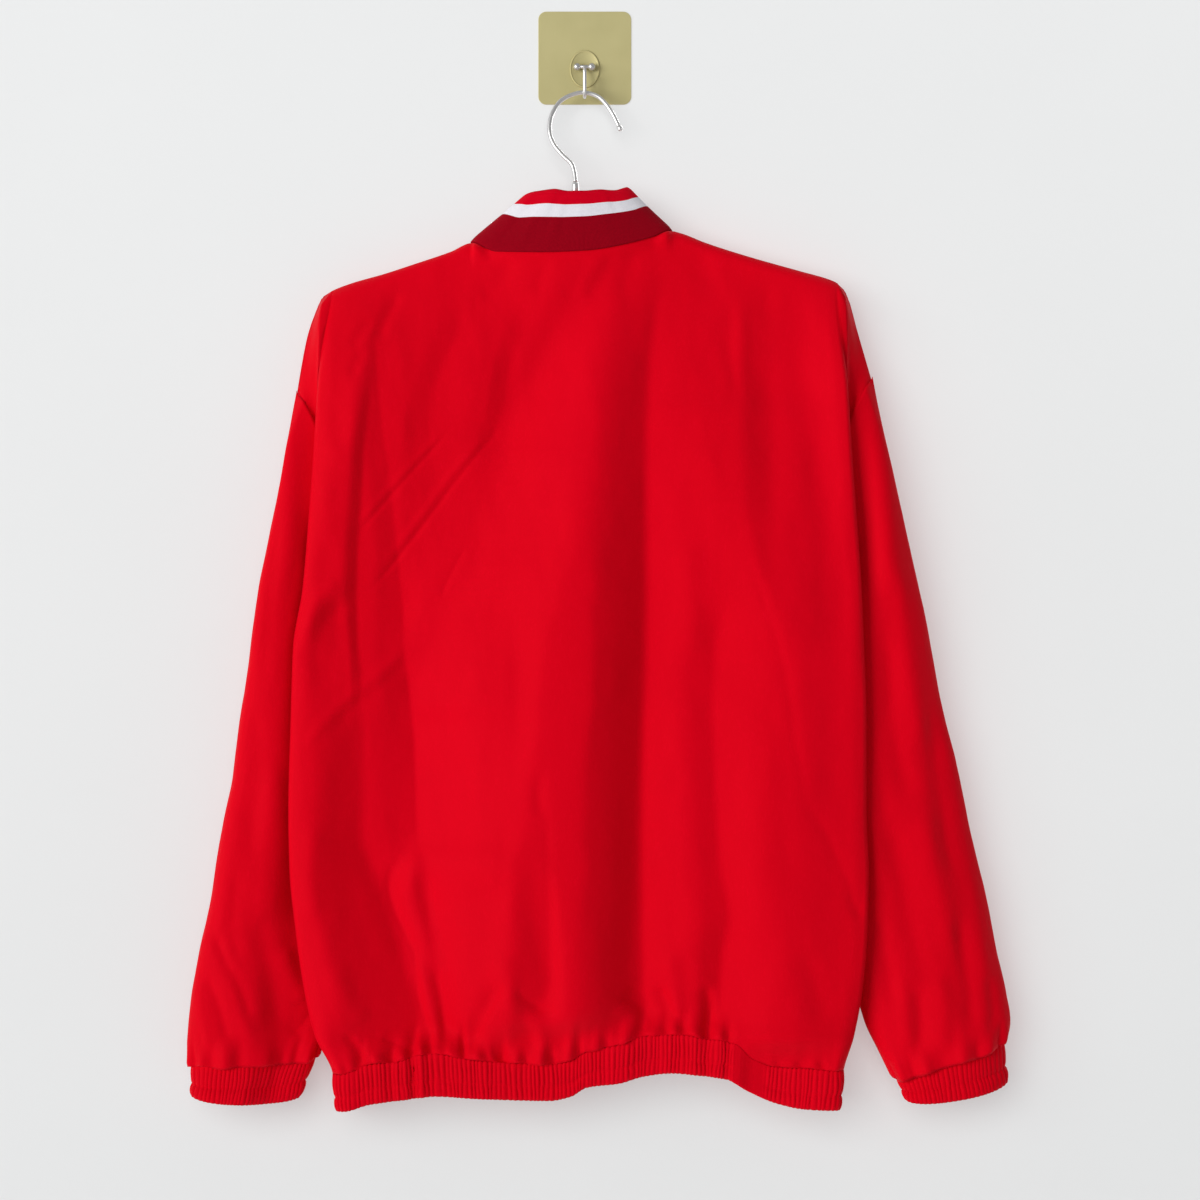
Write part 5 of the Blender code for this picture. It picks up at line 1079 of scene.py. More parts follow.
def wood(name):
    mat, nt, bsdf = new_material(name, (0.36, 0.2, 0.1), 0.38)
    bsdf.inputs["Coat Weight"].default_value = 0.3
    bsdf.inputs["Coat Roughness"].default_value = 0.25
    tc = node(nt, "ShaderNodeTexCoord")
    mp = node(nt, "ShaderNodeMapping")
    mp.inputs["Scale"].default_value = (1.0, 6.0, 12.0)
    rings = node(nt, "ShaderNodeTexWave", wave_type="BANDS", bands_direction="Z", Scale=22.0, Distortion=5.0, Detail=3.0)
    grain = node(nt, "ShaderNodeTexNoise", Scale=90.0, Detail=4.0)
    nt.links.new(tc.outputs["Object"], mp.inputs["Vector"])
    nt.links.new(mp.outputs["Vector"], rings.inputs["Vector"])
    nt.links.new(mp.outputs["Vector"], grain.inputs["Vector"])
    c1 = colour_mix(nt, rings.outputs["Fac"], (0.42, 0.25, 0.13), (0.26, 0.14, 0.07))
    c2 = colour_mix(nt, ramp(nt, grain.outputs["Fac"], 0.5, 0.8), c1, (0.2, 0.1, 0.05))
    nt.links.new(c2, bsdf.inputs["Base Color"])
    b = node(nt, "ShaderNodeBump", Strength=0.2, Distance=0.0001)
    nt.links.new(grain.outputs["Fac"], b.inputs["Height"])
    nt.links.new(b.outputs["Normal"], bsdf.inputs["Normal"])
    return mat


def wall_paint(name, base, pale, see_through):
    """Pale emulsion, lit evenly. A backdrop is seen through from behind."""
    mat, nt, bsdf = new_material(name, base, 0.9, 0.0, 0.2)
    bsdf.inputs["Emission Color"].default_value = (0.985, 1.0, 1.0, 1)
    bsdf.inputs["Emission Strength"].default_value = 0.34 if see_through else 0.0
    tc = node(nt, "ShaderNodeTexCoord")
    nz = node(nt, "ShaderNodeTexNoise", Scale=3.0, Detail=3.0)
    fine = node(nt, "ShaderNodeTexNoise", Scale=380.0, Detail=3.0)
    nt.links.new(tc.outputs["Object"], nz.inputs["Vector"])
    nt.links.new(tc.outputs["Object"], fine.inputs["Vector"])
    c = colour_mix(nt, ramp(nt, nz.outputs["Fac"], 0.35, 0.65), base, pale)
    nt.links.new(c, bsdf.inputs["Base Color"])
    b = node(nt, "ShaderNodeBump", Strength=0.15, Distance=0.0002)
    nt.links.new(fine.outputs["Fac"], b.inputs["Height"])
    nt.links.new(b.outputs["Normal"], bsdf.inputs["Normal"])
    if see_through:
        geo = node(nt, "ShaderNodeNewGeometry")
        lp = node(nt, "ShaderNodeLightPath")
        first = node(nt, "ShaderNodeMath", operation="LESS_THAN")
        first.inputs[1].default_value = 0.5
        nt.links.new(lp.outputs["Ray Depth"], first.inputs[0])
        direct = node(nt, "ShaderNodeMath", operation="MULTIPLY")
        nt.links.new(lp.outputs["Is Shadow Ray"], direct.inputs[0])
        nt.links.new(first.outputs[0], direct.inputs[1])
        either = node(nt, "ShaderNodeMath", operation="MAXIMUM")
        nt.links.new(geo.outputs["Backfacing"], either.inputs[0])
        nt.links.new(direct.outputs[0], either.inputs[1])
        clear = node(nt, "ShaderNodeBsdfTransparent")
        both = node(nt, "ShaderNodeMixShader")
        nt.links.new(either.outputs[0], both.inputs[0])
        nt.links.new(bsdf.outputs[0], both.inputs[1])
        nt.links.new(clear.outputs[0], both.inputs[2])
        nt.links.new(both.outputs[0], nt.nodes["Material Output"].inputs["Surface"])
    return mat


RED = woven("red_microfibre", (0.70, 0.0002, 0.0095), (0.685, 0.0002, 0.0085), (0.74, 0.0006, 0.0125))
RED_BAND = woven("red_elastic", (0.69, 0.0002, 0.0095), (0.67, 0.0002, 0.0085), (0.73, 0.0006, 0.0125), 0.62, 0.1)
KNIT_DARK = knit("knit_dark_red", (0.335, 0.0009, 0.0090), (0.275, 0.0007, 0.0075), (1.0, 0.10, 0.14))
KNIT_RED = knit("knit_red", (0.74, 0.0003, 0.0150), (0.64, 0.0003, 0.0125), (1.0, 0.06, 0.12))
KNIT_WHITE = knit("knit_white", (0.93, 0.905, 0.95), (0.83, 0.81, 0.86), (1.0, 1.0, 1.0))
TAPE = woven("zip_tape", (0.46, 0.002, 0.010), (0.42, 0.002, 0.009), (0.52, 0.006, 0.016), 0.7, 0.05)
COIL, _nt, _b = new_material("zip_coil", (0.42, 0.003, 0.012), 0.32)
ZIP_METAL = metal("zip_silver", (0.70, 0.70, 0.71), (0.58, 0.58, 0.60), 0.26)
STEEL = metal("hook_steel", (0.76, 0.75, 0.74), (0.64, 0.63, 0.62), 0.36, (1.0, 1.0, 0.2))
GOLD = metal("pale_gold", (0.575, 0.515, 0.245), (0.53, 0.475, 0.220), 0.50, (1.0, 1.0, 0.12), 420.0, 0.35)
WOOD = wood("lacquered_wood")


def finish_coil():
    """Nylon coil: slight mottling along the teeth."""
    nt = COIL.node_tree
    bsdf = nt.nodes["Principled BSDF"]
    tc = node(nt, "ShaderNodeTexCoord")
    nz = node(nt, "ShaderNodeTexNoise", Scale=700.0, Detail=2.0)
    nt.links.new(tc.outputs["Object"], nz.inputs["Vector"])
    c = colour_mix(nt, ramp(nt, nz.outputs["Fac"], 0.35, 0.7), (0.42, 0.003, 0.012), (0.33, 0.002, 0.010))
    nt.links.new(c, bsdf.inputs["Base Color"])
    b = node(nt, "ShaderNodeBump", Strength=0.2, Distance=0.00005)
    nt.links.new(nz.outputs["Fac"], b.inputs["Height"])
    nt.links.new(b.outputs["Normal"], bsdf.inputs["Normal"])


finish_coil()


# ------------------------------------------------------------------- panels
def rows_down(stops):
    """Rows down a panel from (start, spacing) stops; the last ends it."""
    d = [0, 0.35, 0.8, 1.4, 2.2, 3.2, 4.5, 6.0, 8.0, 10.5]
    for (a, gap), (b, _) in zip(stops[:-1], stops[1:]):
        n = max(1, round((b - a) / gap))
        d += list(a + (b - a) * np.arange(n) / n)
    return np.array(d + [stops[-1][0]])


ROWS_BACK = rows_down([(13.4, 3.9), (148, 2.05), (312, 4.7), (560, 3.6), (646, 2.3), (700, 0)])
ROWS_FRONT = rows_down([(13.4, 4.4), (646, 2.9), (700, 0)])


def spread(a, b, n):
    return np.linspace(a, b, n + 1)


BACK_SHARES = np.concatenate([spread(-1, -0.93, 9)[:-1], spread(-0.93, -0.83, 8)[:-1],
                              spread(-0.83, NECK_L, 58)[:-1], spread(NECK_L, -0.28, 23)[:-1],
                              spread(-0.28, NECK_R, 48)[:-1], spread(NECK_R, 0.93, 41)[:-1],
                              spread(0.93, 1, 8)])
STRIP = np.linspace(0, 1, 12)[1:]
back_grid = body_surface(True, BACK_SHARES, ROWS_BACK, STRIP)
zl = (zip_x(-235.0) - ZIP_HALF) / TIP_EDGE
zr = (zip_x(-235.0) + ZIP_HALF) / TIP_EDGE
LEFT_SHARES = np.concatenate([spread(-1, -0.93, 7)[:-1], spread(-0.93, NECK_L, 30)[:-1],
                              spread(NECK_L, -0.43, 6)[:-1], spread(-0.43, zl, 38)])
RIGHT_SHARES = np.concatenate([spread(zr, 0.325, 34)[:-1], spread(0.325, NECK_R, 6)[:-1],
                               spread(NECK_R, 0.93, 38)[:-1], spread(0.93, 1, 7)])
STRIP_F = np.linspace(0, 1, 9)[1:]
left_grid = body_surface(False, LEFT_SHARES, ROWS_FRONT, STRIP_F, -1)
right_grid = body_surface(False, RIGHT_SHARES, ROWS_FRONT, STRIP_F, 1)


def seam_line(grid, want, edges):
    return ditch(grid, 0.25, 1.3, edges, want=want)


back = cloth_piece("back_cloth", seam_line(back_grid, (0, -1, 0), ("top", "bottom")), RED, 0.5)
put(back, "shell", "back")
front_left = cloth_piece("front_left_cloth", seam_line(left_grid, (0, 1, 0), ("top", "bottom", "left")), RED, 0.5, flip=True)
put(front_left, "shell", "front_left")
front_right = cloth_piece("front_right_cloth", seam_line(right_grid, (0, 1, 0), ("top", "bottom", "right")), RED, 0.5, flip=True)
put(front_right, "shell", "front_right")


# ------------------------------------------------------------------ sleeves
def sleeve_ring(row, side, a, hang=0.0, turned=0.0):
    ox, oz, ix, iz, y, deep = row[:6]
    c, s = np.cos(a), np.sin(a)
    ce = np.copysign(np.abs(c) ** 0.85, c)
    # seen from behind, a sleeve is fullest towards -X and falls away to +X
    q, crest = side * ce, mix(-0.35, -0.12, step((-700.0 - oz) / 110.0)) if side < 0 else 0.12
    away = np.where(q < crest, (crest - q) / (1 + crest), (q - crest) / (1 - crest))
    full = np.maximum(0.0, 1 - away ** 2) ** np.where(q < crest, 0.42, 0.66)
    if side < 0:        # its inner half turns away early
        inner = (1 - 0.62 * step((q - crest) / 0.66)) * np.maximum(0.0, 1 - away ** 5) ** 0.6
        full = np.where(q < crest, full, inner)
    se = np.where(s > 0, full, -np.abs(s) ** 0.6)
    p = np.zeros((len(a), 3))
    p[:, 0] = (ox + ix) / 2 * side + (ox - ix) / 2 * side * ce
    p[:, 1] = y - deep * se + turned * q * (ox - ix) / 2
    p[:, 2] = (oz + iz) / 2 + (oz - iz) / 2 * ce - hang * np.maximum(0.0, s)
    return p


def through(ts, pts, t):
    """Curve through rows of points, by their places ts."""
    ts = np.asarray(ts, float)
    m = np.zeros_like(pts)
    m[1:-1] = (pts[2:] - pts[:-2]) / (ts[2:] - ts[:-2])[:, None, None]
    m[0] = (pts[1] - pts[0]) / (ts[1] - ts[0])
    m[-1] = (pts[-1] - pts[-2]) / (ts[-1] - ts[-2])
    i = np.clip(np.searchsorted(ts, t, side="right") - 1, 0, len(ts) - 2)
    h = (ts[i + 1] - ts[i])[:, None, None]
    q = ((t - ts[i])[:, None, None]) / h
    return ((2 * q**3 - 3 * q**2 + 1) * pts[i] + (q**3 - 2 * q**2 + q) * m[i] * h
            + (3 * q**2 - 2 * q**3) * pts[i + 1] + (q**3 - q**2) * m[i + 1] * h)


def sleeve_parts(side, table, cuff_row, behind_lines, front_lines, cuff_gathers, around, along):
    a = 2 * math.pi * np.arange(around) / around
    j = np.where(a <= math.pi, a, 2 * math.pi - a) / math.pi * 8
    behind = a <= math.pi
    loop = np.where(behind[:, None], armhole(side, j, True), armhole(side, j, False))
    turns = (0.44, 0.42, 0.34, 0.26, 0.18, 0.13, 0.10) if side < 0 else (-0.17, -0.14, -0.09, -0.03, 0.01, 0.03, 0.05)
    rings = np.array([loop] + [sleeve_ring(r, side, a, 0.0, turns[min(i, 6)] * (1 if i < 11 else 0.5))
                               for i, r in enumerate(table)])
    chord = np.linalg.norm(np.diff(rings, axis=0), axis=-1).mean(axis=1)
    ts = np.concatenate([[0], np.cumsum(chord)])
    t = np.concatenate([ts[-1] * np.linspace(0, 0.93, along)[:-1], ts[-1] * np.linspace(0.93, 1, 16)])
    g = through(ts, rings, t)
    n = grid_normals(g, True)
    mid = g.mean(axis=1, keepdims=True)
    if ((g - mid) * n)[len(t) // 2].sum() < 0:
        n = -n
    X, Z = g[..., 0], g[..., 2]
    s = np.sin(a)[None, :]
    left_to_cuff = (ts[-1] - t)[:, None]
    from_top = t[:, None]
    face = np.abs(s) ** 0.6 * np.ones_like(X)
    quiet = (1 - np.exp(-from_top / 30.0)) * (1 - 0.75 * np.exp(-(left_to_cuff / 9.0) ** 2))
    out = np.where(s > 0, creases(X, Z, behind_lines), creases(X, Z, front_lines)) * face * quiet
    turn = (np.arange(around) / around)[None, :]
    w = 0.016
    for at, high, much in cuff_gathers:
        away = (turn - at + 0.5) % 1.0 - 0.5
        out = out + 1.25 * much * np.exp(-(away / w) ** 2) * np.exp(-(left_to_cuff / (0.7 * high)) ** 2) \
            * (1 - np.exp(-left_to_cuff / 2.5))
    # it swells above the cuff and hangs over its seam, most on the inner half behind
    lap = 1.9 + 1.5 * noise(turn * 90.0, side * 3.0, 5.0, 1.0, 57) + 1.2 * noise(turn * 90.0, side * 5.0, 13.0, 1.0, 58)
    lap = np.maximum(0.0, lap) + 5.0 * step((turn - 0.10) / 0.10) * step((0.48 - turn) / 0.08)
    lap = lap * (1 - 0.8 * np.exp(-((turn - 0.5) / 0.025) ** 2))
    puff = 2.7 + 1.4 * noise(turn * 90.0, side * 7.0, 8.0, 1.0, 55) + 0.5 * lap
    out = out + puff * (1 - np.exp(-left_to_cuff / 1.1)) * np.exp(-left_to_cuff / 20.0)
    out = out + 0.55 * noise(turn * 90.0, left_to_cuff, 1.7, 26.0, 59) * np.exp(-left_to_cuff / 8.0) * (1 - np.exp(-left_to_cuff / 1.5))
    seed = 70 if side < 0 else 80
    wave = turn * 12 * 30.0
    out = out + quiet * (0.5 * noise(X, Z, 26.0, 60.0, seed) + 0.25 * noise(X, Z, 12.0, 24.0, seed + 1)
                         + 0.08 * noise(wave, Z, 5.0, 9.0, seed + 2))
    end = g[-1].copy()
    g = g + n * out[..., None]
    g[..., 2] -= lap * (1 - np.exp(-left_to_cuff / 0.9)) * np.exp(-left_to_cuff / 11.0)
    low = sleeve_ring(cuff_row, side, a, cuff_row[6], 0.08)
    return g, end, low


def flutes(S, length, pitch, seed):
    """Place of each point among flutes of uneven width, and each one's size."""
    n = round(length / pitch)
    k = np.arange(n)
    wide = 1 + 0.20 * lattice(k, k * 0, seed) + 0.14 * lattice(k // 4, k * 0 + 5, seed + 1)
    ends = np.concatenate([[0], np.cumsum(wide)])
    at = np.interp(S, ends * length / ends[-1], np.arange(n + 1))
    i = np.clip(np.floor(at), 0, n - 1)
    return at, 1 + 0.30 * lattice(i, i * 0 + 9, seed + 2)


PINCH = 0.62          # share of a band's height where its sewn row runs


def shirred(top, low, middle_draw, across, rows, pitch, seed, deep, calm=None, closed=True):
    """Drawn-in band between two loops, with flutes and a sewn row."""
    if closed:
        at = np.concatenate([[0], np.cumsum(np.linalg.norm(np.roll(top, -1, axis=0) - top, axis=1))])
        s = np.linspace(0, at[-1], across, endpoint=False)
        wrapped_t, wrapped_l = np.concatenate([top, top[:1]]), np.concatenate([low, low[:1]])
    else:
        at = np.concatenate([[0], np.cumsum(np.linalg.norm(np.diff(top, axis=0), axis=1))])
        s = np.linspace(0, at[-1], across)
        wrapped_t, wrapped_l = top, low
    length = at[-1]
    T = np.stack([np.interp(s, at, wrapped_t[:, k]) for k in range(3)], -1)
    L = np.stack([np.interp(s, at, wrapped_l[:, k]) for k in range(3)], -1)
    v = rows[:, None, None]
    g = mix(T[None], L[None], v)
    centre = g.mean(axis=1, keepdims=True)
    if middle_draw:
        g = centre + (g - centre) * (1 - middle_draw * np.sin(math.pi * v))
    nrm = grid_normals(g, closed)
    if ((g - centre) * nrm)[len(rows) // 2].sum() < 0:
        nrm = -nrm
    v2 = rows[:, None]
    S = s[None, :]
    rim = np.minimum(1, np.minimum(S, length - S) / 12.0)
    # the flutes waver, and shift a little where they cross the sewn row
    sway = (0.75 * noise(S, v2 * 26.0, 8.0, 12.0, seed) + 0.6 * step((v2 - PINCH + 0.05) / 0.1)
            * noise(S, 0.0, 5.0, 1.0, seed + 1)) * rim
    place, size = flutes(S + sway, length, pitch, seed + 3)
    hump = np.abs(np.sin(math.pi * place)) ** 0.85
    size = deep * size * (1 + 0.3 * noise(S, v2 * 20.0, 6.0, 8.0, seed + 2))
    pinch = np.exp(-((v2 - PINCH) / 0.042) ** 2)
    rise = mix(0.5, 1.0, step(v2 / 0.25)) * (1 - 0.5 * pinch) * mix(1.0, 0.35, step((v2 - 0.80) / 0.2))
    keep = np.ones_like(S) if calm is None else calm(T[:, 0])[None, :]
    out = size * rise * (hump - 0.5) * keep
    out = out - 0.65 * pinch * keep
    out = out + 0.9 * np.sin(math.pi * np.clip(v2 / PINCH, 0, 1)) * keep
    out = out + 0.7 * np.sin(math.pi * np.clip((v2 - PINCH) / (1 - PINCH), 0, 1)) * keep
    out = out - 0.6 * step((v2 - 0.92) / 0.08)
    g = g + nrm * out[..., None]
    # the edge is drawn up a little between the flutes
    g[..., 2] += (v2 ** 3) * keep * 0.35 * (1 - hump)
    g[..., 2] += (1 - v2) ** 6 * keep * 0.9 * (hump - 0.5)
    return g, s


def clothe_sleeve(side, tag, table, cuff_row, behind_lines, front_lines, cuff_gathers):
    g, end, low = sleeve_parts(side, table, cuff_row, behind_lines, front_lines, cuff_gathers, 168, 168)
    flip = side < 0
    sleeve = cloth_piece("sleeve_%s_cloth" % tag, g, RED, 0.5, flip=flip, wrap=True)
    put(sleeve, "shell", "sleeve_" + tag, "sleeve_" + tag + "_lower")
    rows = np.concatenate([[0, 0.02], np.linspace(0.05, 1, 19)])
    cg, s = shirred(end, low, 0.03, 560, rows, 3.9, 100 + side, 1.25)
    cuff = cloth_piece("cuff_%s_cloth" % tag, cg, RED_BAND, 1.0, flip=flip, wrap=True)
    put(cuff, "shell", "cuff_" + tag)
    return sleeve, cuff, g, cg


sleeve_left, cuff_left, sl_grid, cl_grid = clothe_sleeve(-1, "left", SLEEVE_L, CUFF_L, SLEEVE_BACK_L, SLEEVE_FRONT_L, GATHER_CUFF_L)
sleeve_right, cuff_right, sr_grid, cr_grid = clothe_sleeve(1, "right", SLEEVE_R, CUFF_R, SLEEVE_BACK_R, SLEEVE_FRONT_R, GATHER_CUFF_R)


# ----------------------------------------------------------------- hem band
def hem_parts():
    ring = np.concatenate([left_grid[-1][::-1], back_grid[-1][1:], right_grid[-1][::-1][1:]])
    keep = np.concatenate([[True], np.linalg.norm(np.diff(ring, axis=0), axis=1) > 0.05])
    ring = ring[keep]
    low = ring.copy()
    low[:, 0] += (zip_x(-900.0) - low[:, 0]) * 0.012
    low[:, 1] = SIDE_Y + (low[:, 1] - SIDE_Y) * 0.9
    low[:, 2] = hem_z(ring[:, 0], 2)
    ring[0, 0], ring[-1, 0] = zip_x(-870.0) - ZIP_HALF, zip_x(-870.0) + ZIP_HALF
    low[0, 0], low[-1, 0] = zip_x(-904.0) - ZIP_HALF, zip_x(-904.0) + ZIP_HALF
    return ring, low


hem_top, hem_low = hem_parts()


def hem_band():
    rows = np.concatenate([[0, 0.02], np.linspace(0.05, 1, 19)])
    at = np.concatenate([[0], np.cumsum(np.linalg.norm(np.diff(hem_top, axis=0), axis=1))])

    def calm(x):
        s = np.linspace(0, at[-1], len(x))
        behind = (np.interp(s, at, hem_top[:, 1]) < SIDE_Y)
        near_zip = np.minimum(s, at[-1] - s)
        return np.where(behind, 1 - flat_window(x), 1.0) * step((near_zip - 6.0) / 8.0)

    g, s = shirred(hem_top, hem_low, 0.0, 2080, rows, 3.9, 200, 1.25, calm, closed=False)
    return cloth_piece("hem_band_cloth", g, RED_BAND, 1.0, flip=False), g


band, band_grid = hem_band()
put(band, "shell", "hem_band")


# ------------------------------------------------------------------- collar
def collar_ring(n_front, n_back):
    """Points of the neck seam from the zip round the back to the zip."""
    a = np.linspace(0, math.pi / 2, n_front + 1)
    half_l = NECK_CX - NECK_HALF * np.sin(a)
    half_l[0] = zip_x(-235.0) - ZIP_HALF
    lx, ly, lz = front_neck(half_l, -1)
    b = np.linspace(-math.pi / 2, math.pi / 2, n_back + 1)
    bx = NECK_CX + NECK_HALF * np.sin(b)
    by = SEAM_Y - NECK_BACK * np.cos(b)
    bz = follow(bx, col(NECK_SEAM, 0), col(NECK_SEAM, 1))
    half_r = NECK_CX + NECK_HALF * np.sin(a)
    half_r[0] = zip_x(-235.0) + ZIP_HALF
    rx, ry, rz = front_neck(half_r, 1)
    left = np.stack([lx, ly, lz], -1)
    back_pts = np.stack([bx, by, bz], -1)
    right = np.stack([rx, ry, rz], -1)[::-1]
    ring = np.concatenate([left[:-1], back_pts, right[1:]])
    front = np.concatenate([np.ones(n_front, bool), np.zeros(n_back + 1, bool), np.ones(n_front, bool)])
    return ring, front


def collar_grid():
    ring, front = collar_ring(70, 150)
    # even columns along the seam
    at = np.concatenate([[0], np.cumsum(np.linalg.norm(np.diff(ring, axis=0), axis=1))])
    n = 380
    s = np.linspace(0, at[-1], n)
    p = np.stack([np.interp(s, at, ring[:, k]) for k in range(3)], -1)
    fr = np.interp(s, at, front.astype(float)) > 0.5
    ts = np.concatenate([np.linspace(0, 0.56, 17)[:-1], np.linspace(0.56, 0.77, 8)[:-1], np.linspace(0.77, 1, 9)])
    u = (p[:, 0] - NECK_CX) / NECK_HALF
    behind = np.maximum(0.0, SEAM_Y - p[:, 1]) / NECK_BACK
    z = mix(-119.5, np.where(u < 0, -122.0, -118.0), np.abs(u) ** 2)
    low = np.where(u < 0, (-163.5 - p[:, 2]) / NECK_DROP, (-153.2 - p[:, 2]) / (NECK_DROP + 10.3))
    low = np.where(fr, np.maximum(low, 0.0), 0.0)
    z = z - low * (-122.0 + 187.5)
    wide = np.where(fr, mix(42.5, 54.0, low), 42.5)
    goal = np.stack([-6.0 + u * wide, p[:, 1] + 7.0 * behind, z], -1)
    T = ts[:, None, None]
    g = mix(p[None], goal[None], T)
    # a soft wave along the top edge and the stripes
    g[..., 2] += (T[..., 0] ** 2) * 1.6 * noise(p[:, 0][None, :], 0.0, 26.0, 1.0, 301) * np.where(fr, 0.6, 1.0)[None, :]
    g[..., 1] -= np.sin(math.pi * T[..., 0]) * 1.5 * behind[None, :]
    g[:, 0, 0] = zip_x(g[:, 0, 2]) - ZIP_HALF
    g[:, -1, 0] = zip_x(g[:, -1, 2]) + ZIP_HALF
    n_ = grid_normals(g)
    c = g.mean(axis=(0, 1))
    mid = n // 2
    if n_[10, mid, 1] > 0:
        n_ = -n_
    S = s[None, :]
    wave = 0.5 * noise(S, ts[:, None] * 40.0, 22.0, 30.0, 310) + 0.3 * noise(S, ts[:, None] * 40.0, 9.0, 16.0, 311)
    edge_in = -0.9 * np.exp(-((1 - ts[:, None]) / 0.03) ** 2) - 0.7 * np.exp(-(ts[:, None] / 0.05) ** 2)
    rib = 0.16 * np.abs(np.sin(math.pi * S / 2.4))
    joint = -0.22 * (np.exp(-((ts[:, None] - 0.56) / 0.012) ** 2) + np.exp(-((ts[:, None] - 0.77) / 0.012) ** 2))
    fade = np.minimum(1, np.minimum(S, s[-1] - S) / 6.0)
    g = g + n_ * ((wave * np.sin(math.pi * np.clip(ts[:, None], 0, 1) * 0.8 + 0.3) + rib) * fade + edge_in + joint)[..., None]
    uv = np.stack(np.broadcast_arrays(S, ts[:, None] * 46.0), -1).reshape(-1, 2)
    rows_mid = (ts[:-1] + ts[1:]) / 2
    band_id = np.where(rows_mid < 0.56, 0, np.where(rows_mid < 0.77, 1, 2))
    index = np.repeat(band_id, n - 1)
    return g, uv, index


col_grid, col_uv, col_index = collar_grid()
collar = cloth_piece("collar_knit", col_grid, [KNIT_DARK, KNIT_WHITE, KNIT_RED], 1.8, flip=False,
                     material_index=col_index, uv=col_uv)
put(collar, "rib_knit", "collar")


# ---------------------------------------------------------------------- zip
def tube(name, path, radius, sides, mat, caps=True, frames=None, squash=1.0):
    """Round rod along a path of points."""
    path = np.asarray(path, float)
    n = len(path)
    r = np.broadcast_to(np.asarray(radius, float), (n,))
    tang = unit(np.concatenate([path[1:2] - path[:1], path[2:] - path[:-2], path[-1:] - path[-2:-1]]))
    ref = np.array([0.0, 1.0, 0.0]) if frames is None else np.asarray(frames, float)
    u = unit(ref - tang * (tang @ ref)[:, None])
    v = np.cross(tang, u)
    a = 2 * math.pi * np.arange(sides) / sides
    pts = path[:, None] + r[:, None, None] * (u[:, None] * np.cos(a)[None, :, None] * squash + v[:, None] * np.sin(a)[None, :, None])
    verts = pts.reshape(-1, 3)
    faces = [list(f)[::-1] for f in grid_faces(n, sides, True)]
    if caps:
        faces.append(list(range(sides))[::-1])
        faces.append([(n - 1) * sides + k for k in range(sides)])
    ob = mesh_piece(name, verts, faces, mat)
    fix_normals(ob)
    return ob


def fix_normals(ob):
    bm = bmesh.new()
    bm.from_mesh(ob.data)
    bmesh.ops.recalc_face_normals(bm, faces=bm.faces)
    bm.to_mesh(ob.data)
    bm.free()


def join_pieces(name, objs):
    """Several meshes made into one piece."""
    bpy.ops.object.select_all(action="DESELECT")
    for o in objs:
        o.select_set(True)
    bpy.context.view_layer.objects.active = objs[0]
    bpy.ops.object.join()
    objs[0].name = name
    objs[0].data.name = name
    return objs[0]


def zip_path():
    z_top = col_grid[-1, 0, 2] - 12.6
    body = left_grid[:, -1]
    zs = np.concatenate([[hem_low[0, 2]], body[::-1, 2], col_grid[1:, 0, 2]])
    ys = np.concatenate([[hem_low[0, 1]], body[::-1, 1], col_grid[1:, 0, 1]])
    order = np.argsort(zs)
    z = np.linspace(hem_low[0, 2] + 2.0, z_top, 220)
    y = np.interp(z, zs[order], ys[order])
    k = np.ones(9) / 9
    smooth = np.convolve(np.pad(y, 4, mode="edge"), k, mode="valid")
    return np.stack([zip_x(z), smooth, z], -1)


ZP = zip_path()


def zip_frames(path):
    t = unit(np.concatenate([path[1:2] - path[:1], path[2:] - path[:-2], path[-1:] - path[-2:-1]]))
    v = unit(np.stack([np.zeros(len(t)), t[:, 2], -t[:, 1]], -1))
    return t, v


def ribbon(name, path, across, out, mat, thick):
    """Flat tape: columns at distances across, heights out from the face."""
    t, v = zip_frames(path)
    side = np.array([1.0, 0, 0])
    g = path[:, None] + side[None, None] * np.asarray(across)[None, :, None] + v[:, None] * np.asarray(out)[None, :, None]
    return cloth_piece(name, g, mat, thick, flip=False)


